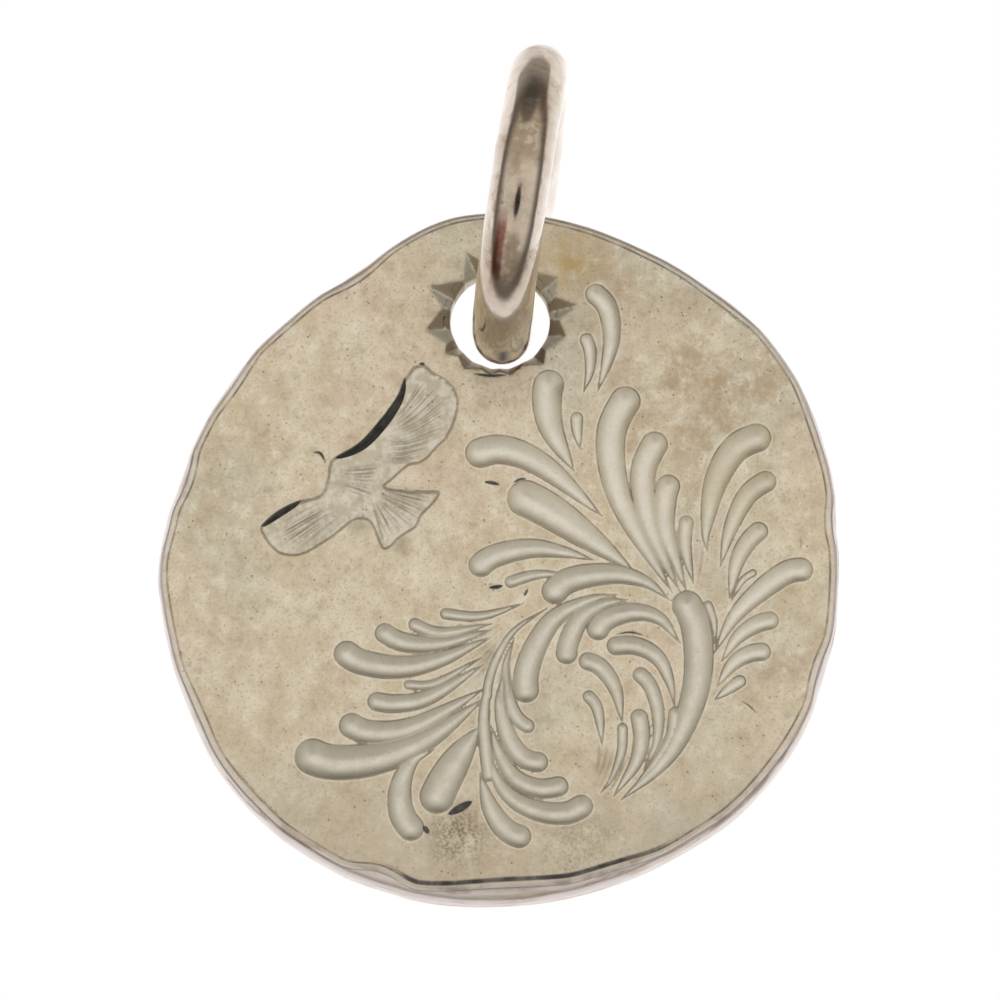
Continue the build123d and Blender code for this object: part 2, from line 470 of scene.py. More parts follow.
        # painted shade: strokes low on the face and left of x 11 are painted darker, less so along their highlight
        painted_cut_shade = r.z.ramp(2.0, -2.5) * r.x.ramp(11.5, 9.8) * (0.72 - streak * 0.55).clipped()
        return g.layers(
            self.cut,
            (streak.clipped(), self.bright),
            (r.grit.ramp(0.5, 0.75) * 0.25, self.smudge),
            (olive.clipped(), self.olive),
            (painted_cut_shade, self.painted_cut_shade),
        )

    def wall_tone(self, g: Graph, r: Reading) -> Value:
        """The colour of the rim's wall, with its folds.

        Args:
            g: the finish's graph.
            r: what it reads.

        Returns:
            The colour.
        """
        return g.layers(
            self.wall, (r.lap.ramp(0.53, 0.62) * 0.70, self.fold), (r.lap.ramp(0.46, 0.36) * 0.5, self.brown)
        )

    def specks(self, g: Graph, r: Reading) -> Value:
        """Small pits in the skin.

        Args:
            g: the finish's graph.
            r: what it reads.

        Returns:
            1 in a pit, 0 beside it.
        """
        pits = g.cells(r.p, 0.42).ramp(0.17, 0.06) * g.cloud(r.p, 1.6, 2.0, 0.5, 6.0).ramp(0.44, 0.58)
        grains = g.cells(r.p, 0.24).ramp(0.20, 0.07) * g.cloud(r.p, 2.4, 2.0, 0.5, 7.0).ramp(0.48, 0.62)
        return (pits.over(grains * 0.6) * (1 - r.cut * 0.8) * (1 - r.wall)).clipped()

    def dirt_and_shade(self, g: Graph, r: Reading) -> tuple[Value, Value, Value]:
        """What polishing never reaches, and the painted shade in the wings' deep slots.

        Args:
            g: the finish's graph.
            r: what it reads.

        Returns:
            The grime in the cuts' edges, the line along the rim, and the black oxide, which in the wings' deep slots is
            partly painted shade.
        """
        patchy = g.cloud(r.p, 1.1, 3.0, 0.6, 15.0).ramp(0.36, 0.62)
        outline = r.edge.ramp(-0.045, 0.0) * r.edge.ramp(0.085, 0.015) * (0.40 + patchy * 0.42)
        feathered = r.bird.ramp(-0.05, 0.0) * r.bird.ramp(0.09, 0.02) * (0.22 + patchy * 0.4)
        barb = r.barb.ramp(-0.01, 0.06) * (0.34 + patchy * 0.40)
        heavy = r.z.ramp(-13.6, -15.6) * r.x.ramp(11.0, 6.5) * r.x.ramp(-6.5, -4.0)
        rim = r.lip.ramp(0.08, 0.02) * r.lip.ramp(-0.09, -0.02) * (0.40 + patchy * 0.45)
        rim = rim.over(r.lip.ramp(0.24, 0.10) * r.lip.ramp(-0.10, 0.0) * heavy * (0.60 + patchy * 0.4))
        # painted shade, partly oxide: the wings' deep slots are painted black
        black = (rim * heavy).over(r.black_and_shade.ramp(-0.02, 0.05) * (0.7 + r.fine * 0.5)).clipped()
        return outline.over(feathered).over(barb).clipped(), rim, black

    def material(self) -> bpy.types.Material:
        """Builds the finish.

        Returns:
            The material.
        """
        m, g = surface("engraved_silver")
        r = Reading(g)
        specks = self.specks(g, r)
        grime, rim, black = self.dirt_and_shade(g, r)
        seam = abs(r.lip + 0.36 + (r.broad - 0.5) * 0.30).ramp(0.04, 0.01) * r.lap.ramp(0.36, 0.46)
        # painted highlight: a pale line along the raised burr just outside each cut
        burr = r.edge.ramp(-0.15, -0.09) * r.edge.ramp(-0.01, -0.05)
        colour = g.layers(
            self.skin_tone(g, r),
            (r.cut * 0.9, self.cut_tone(g, r)),
            (r.carved * 0.7, g.blend(r.fine.ramp(0.4, 0.62), self.cut, self.bright)),
            # painted light and shade: each notch facet is lighter or darker by the way it faces
            (r.notch * 0.85, g.blend(r.core.ramp(0.1, 0.9), self.facet, self.bright)),
            (r.wall * 0.9, self.wall_tone(g, r)),
            (seam * 0.75, self.fold),
            (specks * 0.6, self.pit),
            # painted highlight along the burr outside each cut
            (burr * 0.30, self.bloom_and_sheen),
            (grime, self.grime),
            (rim, self.seam),
            (black, self.oxide_and_shade),
        )
        dirt_and_shade = grime.over(black).over(rim)
        rough = 0.50 + (r.mottle - 0.5) * 0.22 - r.cut * 0.08 - r.wall * 0.15
        rough = rough + dirt_and_shade * 0.2 + specks * 0.1 + (r.smudge - 0.5) * 0.2
        scratches = g.hairs(g.stretched(r.p, (9.0, 1.0, 1.0), 0.6), 900.0, 3.0)
        height = r.mottle * 0.9 + r.fine * 0.35 + r.smudge * 0.4 + r.grit * 0.25
        height = height + scratches * 0.12 - specks * 0.9 - dirt_and_shade * 0.3
        shade(g, colour, 1.0 - dirt_and_shade * 0.75, rough.clipped(), g.bump(height, 0.02, 0.6))
        return m


@dataclass(frozen=True)
class PolishedSilver:
    """Worn polished wire: bright, with brown tarnish where fingers don't reach."""

    clean: Colour = (0.86, 0.82, 0.76)
    tan: Colour = (0.36, 0.285, 0.215)
    rust: Colour = (0.30, 0.16, 0.12)
    streak: Colour = (0.17, 0.045, 0.035)
    smut: Colour = (0.045, 0.045, 0.045)
    wiped: Colour = (0.62, 0.53, 0.42)

    def material(self) -> bpy.types.Material:
        """Builds the finish.

        Returns:
            The material.
        """
        m, g = surface("polished_silver")
        p = g.place()
        haze, spots = g.cloud(p, 3.2, 4.0, 0.6, 1.5), g.cloud(p, 0.9, 4.0, 0.65, 5.0)
        x, y, z = g.axes(p)
        film = g.attribute("film") * (z.ramp(10.5, 12.5) * 0.5 + 0.5)
        aside = x - 0.2 - (z - 11.57) * 0.1495  # from the ring's own middle plane, which leans sideways
        streak = aside.ramp(-0.90, -0.68) * aside.ramp(-0.22, -0.40) * z.ramp(11.6, 12.6) * z.ramp(15.6, 14.2)
        streak = streak * y.ramp(-6.0, -7.5)
        worn = g.spot(x, z, (0.15, 9.3), 0.25, 0.3) * y.ramp(-6.0, -5.4) * y.ramp(-3.8, -4.4)
        colour = g.layers(
            self.clean,
            ((haze.ramp(0.38, 0.62) * 0.35 + film * 0.75).clipped(), self.tan),
            (spots.ramp(0.50, 0.40) * film * 0.55, self.wiped),
            (spots.ramp(0.54, 0.68) * (0.15 + film * 0.6), self.rust),
            ((streak * (0.35 + spots)).clipped(), self.streak),
            (worn * 0.95, self.smut),
        )
        hairs = g.hairs(g.stretched(p, (1.0, 1.0, 7.0)), 1400.0, 2.0)
        rough = 0.09 + haze.ramp(0.42, 0.7) * 0.08 + spots.ramp(0.5, 0.7) * 0.12 + film * 0.04 + worn * 0.4
        height = haze * 0.8 + hairs * 0.1 + spots * 0.25
        shade(g, colour, 1.0 - worn * 0.9, rough.clipped(), g.bump(height, 0.012, 0.6))
        return m


@dataclass(frozen=True)
class SilverSolder:
    """The seam's solder, a little yellower and duller than the wire."""

    clean: Colour = (0.66, 0.58, 0.42)
    tarnish: Colour = (0.33, 0.26, 0.17)

    def material(self) -> bpy.types.Material:
        """Builds the finish.

        Returns:
            The material.
        """
        m, g = surface("silver_solder")
        p = g.place()
        grain = g.cloud(p, 0.35, 4.0, 0.65, 2.0)
        colour = g.blend(grain.ramp(0.45, 0.7) * 0.7, self.clean, self.tarnish)
        shade(g, colour, 1.0, 0.36 + grain * 0.2, g.bump(grain, 0.02, 0.7))
        return m


@dataclass(frozen=True)
class StudioPaper:
    """The floor's matt white paper."""

    sheet: Colour = (0.86, 0.86, 0.85)
    fibre: Colour = (0.80, 0.80, 0.79)

    def material(self) -> bpy.types.Material:
        """Builds the finish.

        Returns:
            The material.
        """
        m, g = surface("studio_paper")
        shade(g, g.blend(g.cloud(g.place(), 40.0, 4.0) * 0.15, self.sheet, self.fibre), 0.0, 0.85)
        return m


# ---------------------------------------------------------------------------
# Cuts
# ---------------------------------------------------------------------------


class Taper(Enum):
    """How a cut's width runs along it."""

    PETAL = "round head, pointed tail"
    SPINDLE = "pointed at both ends"


def curve_through(points: Iterable[Point], spacing: float = 0.05) -> np.ndarray:
    """A smooth curve through points.

    Args:
        points: the points, in order.
        spacing: how far apart its samples are.

    Returns:
        The samples, one row each.
    """
    p = np.array(list(points), float)
    p = np.vstack([2 * p[0] - p[1], p, 2 * p[-1] - p[-2]])
    rows = []
    for a, b, c, d in zip(p[:-3], p[1:-2], p[2:-1], p[3:]):
        n = max(2, int(np.linalg.norm(c - b) / spacing))
        t = np.linspace(0, 1, n, endpoint=False)[:, None]
        rows.append(0.5 * (2 * b + (c - a) * t + (2 * a - 5 * b + 4 * c - d) * t**2 + (3 * b - a - 3 * c + d) * t**3))
    rows.append(p[-2:-1])
    return np.vstack(rows)


@dataclass(frozen=True)
class Cut:
    """One push of the graver: its path, its widest width, and what it leaves behind."""

    path: tuple[Point, ...]
    width: float
    taper: Taper = Taper.PETAL
    steep: float = 0.30  # depth over half the width
    # soot is how black the floor is: oxide, and in the wings' deep slots also painted shade
    black_and_shade: float = 0.0  # how black its floor is
    power: float = 2.1  # how late a petal narrows

    def line(self) -> tuple[np.ndarray, np.ndarray]:
        """The middle line and the half width along it.

        Returns:
            Points and half widths.
        """
        c = curve_through(self.path)
        s = np.concatenate([[0], np.cumsum(np.linalg.norm(np.diff(c, axis=0), axis=1))])
        half = self.width / 2
        if self.taper is Taper.PETAL:
            keep = s >= min(half, s[-1] * 0.4)
            c, s = c[keep], s[keep]
            t = (s - s[0]) / (s[-1] - s[0])
            w = half * (1 - t**self.power)
        else:
            w = half * np.abs(np.sin(pi * s / s[-1])) ** 0.5
        return c, np.maximum(w, 0.012)

    def reach(self, p: np.ndarray) -> tuple[np.ndarray, np.ndarray, np.ndarray, np.ndarray]:
        """Where points lie against the cut.

        Args:
            p: points on the face, one row each.

        Returns:
            How far each lies inside the outline, the half width there, the nearest middle point, and the
            distance to it.
        """
        c, w = self.line()
        inside = np.full(len(p), -FAR)
        half, near, away = np.ones(len(p)), np.zeros((len(p), 2)), np.full(len(p), FAR)
        margin = self.width + 0.8
        close = np.all((p > c.min(0) - margin) & (p < c.max(0) + margin), axis=1)
        q = p[close]
        if len(q):
            d = np.linalg.norm(q[:, None, :] - c[None, :, :], axis=2)
            best = np.argmax(w[None, :] - d, axis=1)
            rows = np.arange(len(q))
            inside[close] = w[best] - d[rows, best]
            half[close], near[close], away[close] = w[best], c[best], d[rows, best]
        return inside, half, near, away

    def hollow(self, p: np.ndarray) -> tuple[np.ndarray, np.ndarray, np.ndarray]:
        """The round hollow that the graver leaves.

        Args:
            p: points on the face, one row each.

        Returns:
            How far each lies inside the outline, the hollow's depth, and 1 on its middle line to 0 at its edge.
        """
        inside, half, _, away = self.reach(p)
        core = 1 - (away / half) ** 2
        return inside, self.steep * half * core, core


def slip(width: float, steep: float, black_and_shade: float, *path: Point) -> Cut:
    """A narrow cut that is pointed at both ends.

    Args:
        width: its widest width.
        steep: its depth over half the width.
        black_and_shade: how black its floor is, from oxide and, in the wings' deep slots, painted shade.
        path: its middle line.

    Returns:
        The cut.
    """
    return Cut(path, width, Taper.SPINDLE, steep, black_and_shade)


UPPER_LEAVES = (
    Cut(((4.4, 13.55), (5.35, 12.55), (5.6, 11.05), (5.35, 9.65), (4.9, 8.2)), 1.05),
    Cut(((4.2, 11.15), (4.5, 10.35), (4.5, 9.25), (4.2, 8.15)), 0.65),
    Cut(((2.65, 9.25), (2.35, 7.9), (2.6, 6.2), (3.7, 4.1)), 1.5),
    Cut(((3.85, 7.15), (3.85, 6.3), (4.0, 5.25)), 0.6),
    Cut(((6.65, 8.35), (5.6, 6.2), (5.7, 3.75), (6.6, 1.35), (8.6, -2.1)), 1.5),
    Cut(((8.05, 6.05), (7.2, 4.25), (7.25, 2.35), (7.85, 0.3), (8.95, -2.0)), 1.3),
    Cut(((8.6, 3.9), (8.25, 2.6), (8.3, 0.85), (9.3, -2.0)), 1.15),
    Cut(((9.35, 1.85), (9.25, 0.3), (9.65, -1.65)), 0.7),
)
RIGHT_LEAVES = (
    Cut(((13.55, 6.05), (11.85, 5.3), (10.8, 3.55), (10.3, 1.1), (10.35, -0.05)), 1.45),
    Cut(((13.75, 3.85), (12.4, 2.9), (11.5, 1.1), (11.0, -0.8)), 1.05),
    Cut(((13.3, 1.35), (12.4, 0.5), (11.8, -0.65), (11.45, -2.4)), 0.95),
    Cut(((12.8, -1.0), (12.1, -1.5), (11.55, -2.5)), 0.35),
    Cut(((15.65, -0.95), (14.4, -1.05), (12.9, -2.1), (11.65, -3.4), (10.7, -5.15)), 1.2),
    Cut(((13.9, -3.45), (12.85, -3.7), (11.85, -4.4), (11.05, -5.6)), 0.9),
    Cut(((13.5, -5.1), (12.5, -5.2), (11.6, -5.75), (10.8, -6.9)), 0.9),
    Cut(((12.2, -6.45), (11.55, -6.9), (10.7, -7.55)), 0.6),
    Cut(((10.3, -2.5), (10.65, -3.5), (10.75, -4.8)), 0.4),
)
LEFT_LEAVES = (
    Cut(((-1.7, 4.8), (0.1, 5.2), (2.25, 4.3), (5.1, 1.8)), 1.5),
    Cut(((0.45, 3.1), (2.35, 2.15), (4.5, 0.65), (6.65, -0.95)), 1.85),
    Cut(((-1.4, -1.15), (-0.4, -0.3), (1.5, 0.15), (3.25, -0.05), (4.7, -0.45)), 1.2),
    Cut(((0.25, -1.65), (1.75, -1.2), (3.35, -1.15)), 0.6),
)
SCROLL = (
    Cut(((2.3, -2.5), (3.4, -1.5), (5.5, -1.15), (7.25, -1.55), (8.5, -2.5)), 1.3),
    Cut(
        ((9.0, -2.1), (9.75, -3.75), (9.9, -5.8), (9.6, -7.6), (8.85, -9.55), (7.75, -11.1), (6.0, -12.65)),
        1.5,
        power=2.4,
    ),
    Cut(((1.35, -7.7), (1.3, -6.3), (1.8, -4.8), (2.8, -3.35), (4.5, -2.45), (5.85, -2.2)), 1.25),
    Cut(((3.25, -5.75), (3.45, -4.55), (4.05, -3.4), (5.1, -2.7), (6.4, -2.45)), 1.05),
    Cut(((4.6, -4.45), (5.3, -3.5), (6.7, -3.1), (8.0, -3.45), (9.0, -4.7)), 1.1),
    Cut(((5.3, -4.85), (6.7, -4.8), (7.85, -5.4), (8.45, -6.6), (8.7, -7.9)), 0.95),
    Cut(((3.95, -5.45), (5.0, -5.9), (5.75, -7.0), (6.1, -8.75)), 0.9),
    Cut(((6.7, -6.0), (7.45, -6.8), (7.85, -8.1), (7.8, -9.65), (7.15, -11.1)), 0.75),
    Cut(((8.75, -7.9), (8.55, -9.4), (7.75, -10.75), (6.4, -12.3)), 0.65),
    Cut(((6.85, -8.0), (7.05, -9.4), (6.75, -10.75), (5.65, -12.45)), 0.85),
    Cut(((4.2, -7.15), (4.85, -8.0), (5.1, -9.9)), 0.6),
    Cut(((6.1, -8.75), (6.05, -10.15), (5.6, -11.45), (5.0, -12.3)), 0.5),
)
LOWER_LEAVES = (
    Cut(((-8.15, -4.8), (-7.0, -5.6), (-5.0, -5.9), (-3.0, -5.5), (-0.4, -4.35)), 1.3),
    Cut(((-6.15, -3.9), (-4.9, -4.6), (-3.0, -4.7), (-0.4, -4.0)), 1.0),
    Cut(((-4.55, -3.6), (-3.0, -4.15), (-0.4, -3.7)), 0.65),
    Cut(((-3.0, -3.15), (-1.0, -3.3), (1.2, -2.65)), 0.55),
    Cut(((-4.8, -6.8), (-3.25, -6.7), (-0.9, -5.4)), 0.45),
    Cut(((-6.6, -7.55), (-5.25, -7.75), (-3.5, -7.4), (-0.8, -5.75)), 0.95),
    Cut(((-7.95, -8.55), (-6.5, -9.2), (-4.25, -8.9), (-0.8, -7.0)), 1.25),
    Cut(((-10.15, -10.0), (-8.5, -10.7), (-6.0, -10.5), (-3.5, -9.45), (-0.8, -7.5)), 1.8),
    Cut(((-4.0, -14.55), (-4.85, -13.4), (-4.95, -11.95), (-4.35, -10.65), (-3.3, -10.1)), 1.3),
    Cut(((-3.45, -13.3), (-3.0, -12.15), (-2.25, -10.75), (-1.05, -8.95)), 1.7, power=2.6),
    Cut(((-0.5, -11.7), (-0.7, -10.15), (-0.8, -8.35), (-0.5, -6.6), (0.2, -5.05)), 0.65),
    Cut(((1.55, -14.65), (0.4, -14.2), (-0.45, -13.05), (-1.0, -11.3)), 1.15),
    Cut(((4.55, -12.65), (3.25, -13.3), (1.5, -13.05), (0.1, -12.0), (-0.75, -10.05)), 1.15),
    Cut(((3.4, -11.85), (2.0, -12.05), (0.75, -11.5), (-0.05, -10.25), (-0.5, -8.75)), 1.0),
    Cut(((2.4, -10.8), (1.2, -10.5), (0.4, -9.4), (0.0, -7.7), (0.2, -6.15)), 1.0),
    Cut(((1.65, -9.1), (0.85, -8.45), (0.4, -7.35), (0.3, -5.8), (0.7, -4.45)), 0.7),
    Cut(((-0.65, -7.6), (-0.55, -6.6), (-0.1, -5.3), (0.75, -4.0), (2.35, -2.9)), 0.45),
)
# Slips of the tool and small dark dings beside the ornament.
SLIPS = (
    slip(0.22, 0.6, 0.9, (-0.8, 3.55), (-0.4, 3.5), (0.0, 3.4)),
    slip(0.16, 0.6, 0.8, (0.65, 3.5), (1.0, 3.68), (1.35, 3.7)),
    slip(0.24, 0.6, 0.9, (-0.55, -1.85), (-0.2, -1.82), (0.15, -1.75)),
    slip(0.16, 0.6, 0.8, (1.2, -2.3), (1.3, -2.1), (1.4, -1.9)),
    slip(0.14, 0.6, 0.6, (5.7, -4.25), (6.5, -4.12), (7.25, -4.3)),
    slip(0.42, 0.5, 0.85, (-2.55, -13.35), (-2.0, -13.05), (-1.4, -12.7)),
    slip(0.3, 0.5, 0.8, (-3.8, -13.95), (-3.7, -14.1), (-3.55, -14.3)),
    slip(0.12, 0.6, 0.7, (12.0, -7.6), (12.4, -7.85), (12.85, -8.3)),
    slip(0.14, 0.5, 0.25, (14.35, -4.8), (14.55, -5.3), (14.3, -5.85)),
    slip(0.2, 0.4, 0.2, (15.0, 0.75), (15.05, 0.4), (15.0, 0.05)),
    slip(0.17, 0.8, 1.0, (-9.4, 5.05), (-9.0, 5.02), (-8.72, 4.55)),
    slip(0.2, 0.5, 0.55, (-1.35, 9.1), (-0.5, 9.0), (0.4, 9.05)),
    slip(0.18, 0.8, 1.0, (-4.05, 9.62), (-3.85, 9.6), (-3.65, 9.6)),
    slip(0.1, 0.6, 0.4, (0.55, 8.55), (0.75, 8.75), (1.0, 8.85)),
    slip(0.1, 0.3, 0.25, (-14.3, 3.95), (-13.2, 3.7), (-12.1, 3.35)),
)
# The scorper's deep slots under the wings' leading edges; their black floors are partly oxide and partly painted shade.
WING_SLOTS = (
    slip(
        0.5, 1.5, 1.0, (-8.3, 4.75), (-7.4, 5.12), (-6.75, 5.55), (-6.1, 6.25), (-5.45, 7.1), (-4.95, 8.0), (-4.75, 8.9)
    ),
    slip(0.34, 1.5, 1.0, (-11.95, 1.25), (-11.05, 1.92), (-10.1, 2.5), (-9.9, 2.62)),
    slip(0.14, 1.0, 0.15, (-8.6, 4.7), (-8.5, 4.1), (-8.65, 3.5), (-9.0, 2.95), (-9.6, 2.65)),
)
BIRD = (
    (-4.35, 9.45), (-3.8, 9.55), (-3.3, 9.15), (-2.6, 8.7), (-2.2, 8.2), (-2.05, 7.65), (-2.2, 6.8), (-2.5, 6.05),
    (-2.75, 5.65), (-3.15, 5.3), (-3.55, 4.8), (-4.0, 4.5), (-4.6, 4.35), (-5.4, 3.65), (-5.75, 3.3), (-5.0, 3.15),
    (-4.0, 3.1), (-3.05, 3.05), (-3.2, 2.6), (-3.6, 2.15), (-3.95, 1.75), (-4.15, 1.25), (-4.6, 0.95), (-5.05, 0.65),
    (-5.4, 0.25), (-5.8, 0.05), (-6.05, 0.4), (-6.3, 1.05), (-6.6, 1.55), (-7.2, 1.6), (-7.65, 1.3), (-8.2, 0.85),
    (-9.0, 0.3), (-9.8, -0.15), (-10.4, -0.25), (-11.05, -0.1), (-11.6, 0.4), (-11.9, 0.9), (-11.95, 1.3),
    (-11.0, 2.0), (-10.05, 2.55), (-9.45, 2.7), (-8.95, 2.95), (-8.65, 3.6), (-8.55, 4.35), (-8.35, 4.75),
    (-7.5, 5.15), (-6.75, 5.65), (-6.1, 6.35), (-5.45, 7.15), (-5.0, 7.95), (-4.8, 8.75),
)  # fmt: skip
# Each fan of feathers or hair strokes: how many there are, their width, and the guide lines between which they spread.
FEATHERS = (
    (25, 0.14, (
        ((-5.4, 6.6), (-4.7, 7.6), (-3.9, 8.9)), ((-5.6, 6.0), (-4.2, 6.6), (-2.5, 7.9)),
        ((-5.9, 5.3), (-4.6, 5.4), (-3.0, 5.9)), ((-6.3, 4.7), (-5.2, 4.5), (-4.2, 4.65)),
    )),
    (15, 0.14, (
        ((-8.3, 2.7), (-9.6, 2.2), (-11.3, 1.3)), ((-8.0, 2.2), (-9.3, 1.3), (-10.7, 0.2)),
        ((-7.5, 1.9), (-8.4, 1.1), (-9.6, 0.1)),
    )),
    (14, 0.14, (
        ((-6.2, 3.3), (-4.8, 3.2), (-3.3, 2.95)), ((-6.3, 2.95), (-5.1, 2.2), (-4.0, 1.5)),
        ((-6.5, 2.7), (-6.1, 1.5), (-5.8, 0.35)),
    )),
    (9, 0.14, (((-8.2, 4.3), (-7.2, 4.3), (-6.0, 4.5)), ((-8.4, 3.5), (-7.4, 3.1), (-6.4, 2.7)))),
    (9, 0.24, (
        ((-1.7, -4.4), (-0.9, -4.15), (0.1, -3.7)), ((-1.6, -5.6), (-0.8, -5.0), (0.2, -4.1)),
        ((-1.5, -6.8), (-0.8, -6.0), (0.1, -4.7)),
    )),
    (6, 0.24, (
        ((4.9, -9.4), (4.95, -10.4), (4.7, -11.5)), ((5.8, -9.9), (5.5, -11.0), (5.1, -12.1)),
        ((6.4, -10.2), (6.0, -11.2), (5.45, -12.2)),
    )),
    (5, 0.24, (((7.4, 0.6), (8.0, -0.4), (8.8, -1.6)), ((10.2, 0.9), (10.0, -0.5), (9.9, -1.7)))),
    (3, 0.24, (((0.9, -4.6), (0.45, -6.4), (0.55, -8.2)), ((0.45, -4.6), (0.0, -6.6), (0.1, -8.8)))),
)  # fmt: skip
FEATHER_WIDTH = 0.14  # a wider stroke is paler


def feather_cuts() -> list[Cut]:
    """The barbs of every fan, spread evenly between its guide lines.

    Returns:
        One fine cut each.
    """
    rng = np.random.default_rng(11)
    cuts = []
    for count, width, guides in FEATHERS:
        guides = np.array(guides)
        for place in np.linspace(0, len(guides) - 1.001, count):
            k, t = int(place), place - int(place)
            path = guides[k] * (1 - t) + guides[k + 1] * t + rng.normal(0, 0.035, (3, 2))
            start = rng.uniform(0.0, 0.3)
            path[0] = path[0] * (1 - start) + path[1] * start
            wide, black_and_shade = width * rng.uniform(0.7, 1.25), rng.uniform(0.2, 0.5) * (FEATHER_WIDTH / width) ** 1.5
            cuts.append(slip(wide, 0.5, black_and_shade, *map(tuple, path)))
    return cuts


# ---------------------------------------------------------------------------
# Pieces
# ---------------------------------------------------------------------------


def finished(bm: bmesh.types.BMesh, name: str, finish: bpy.types.Material, sharp: float = 60.0) -> bpy.types.Object:
    """Turns a bmesh into a shaded object.

    Args:
        bm: the shape, in metres; it is freed.
        name: the piece's name.
        finish: its material.
        sharp: edges that turn more than this many degrees stay crisp.

    Returns:
        The object.
    """
    mesh = bpy.data.meshes.new(name)
    bm.to_mesh(mesh)
    bm.free()
    mesh.materials.append(finish)
    mesh.shade_smooth()
    mesh.set_sharp_from_angle(angle=radians(sharp))
    piece = bpy.data.objects.new(name, mesh)
    bpy.context.scene.collection.objects.link(piece)
    return piece


def remember(mesh: bpy.types.Mesh, name: str, values: np.ndarray) -> None:
    """Stores a number at each vertex, for the finish to read.

    Args:
        mesh: the mesh.
        name: the attribute's name.
        values: one number per vertex.
    """
    mesh.attributes.new(name, "FLOAT", "POINT").data.foreach_set("value", values.astype(np.float32))


def step(low: float, high: float, value: np.ndarray) -> np.ndarray:
    """A smooth step from 0 at low to 1 at high."""
    t = np.clip((value - low) / (high - low), 0, 1)
    return t * t * (3 - 2 * t)


def ripple(points: np.ndarray, size: float, seed: float) -> np.ndarray:
    """Smooth noise in -1 to 1.

    Args:
        points: where it is read, in millimetres.
        size: its wavelength, in millimetres.
        seed: another number gives another pattern.

    Returns:
        One number per point.
    """
    return np.array([noise.noise(Vector((a / size + seed, b / size, c / size))) for a, b, c in points])


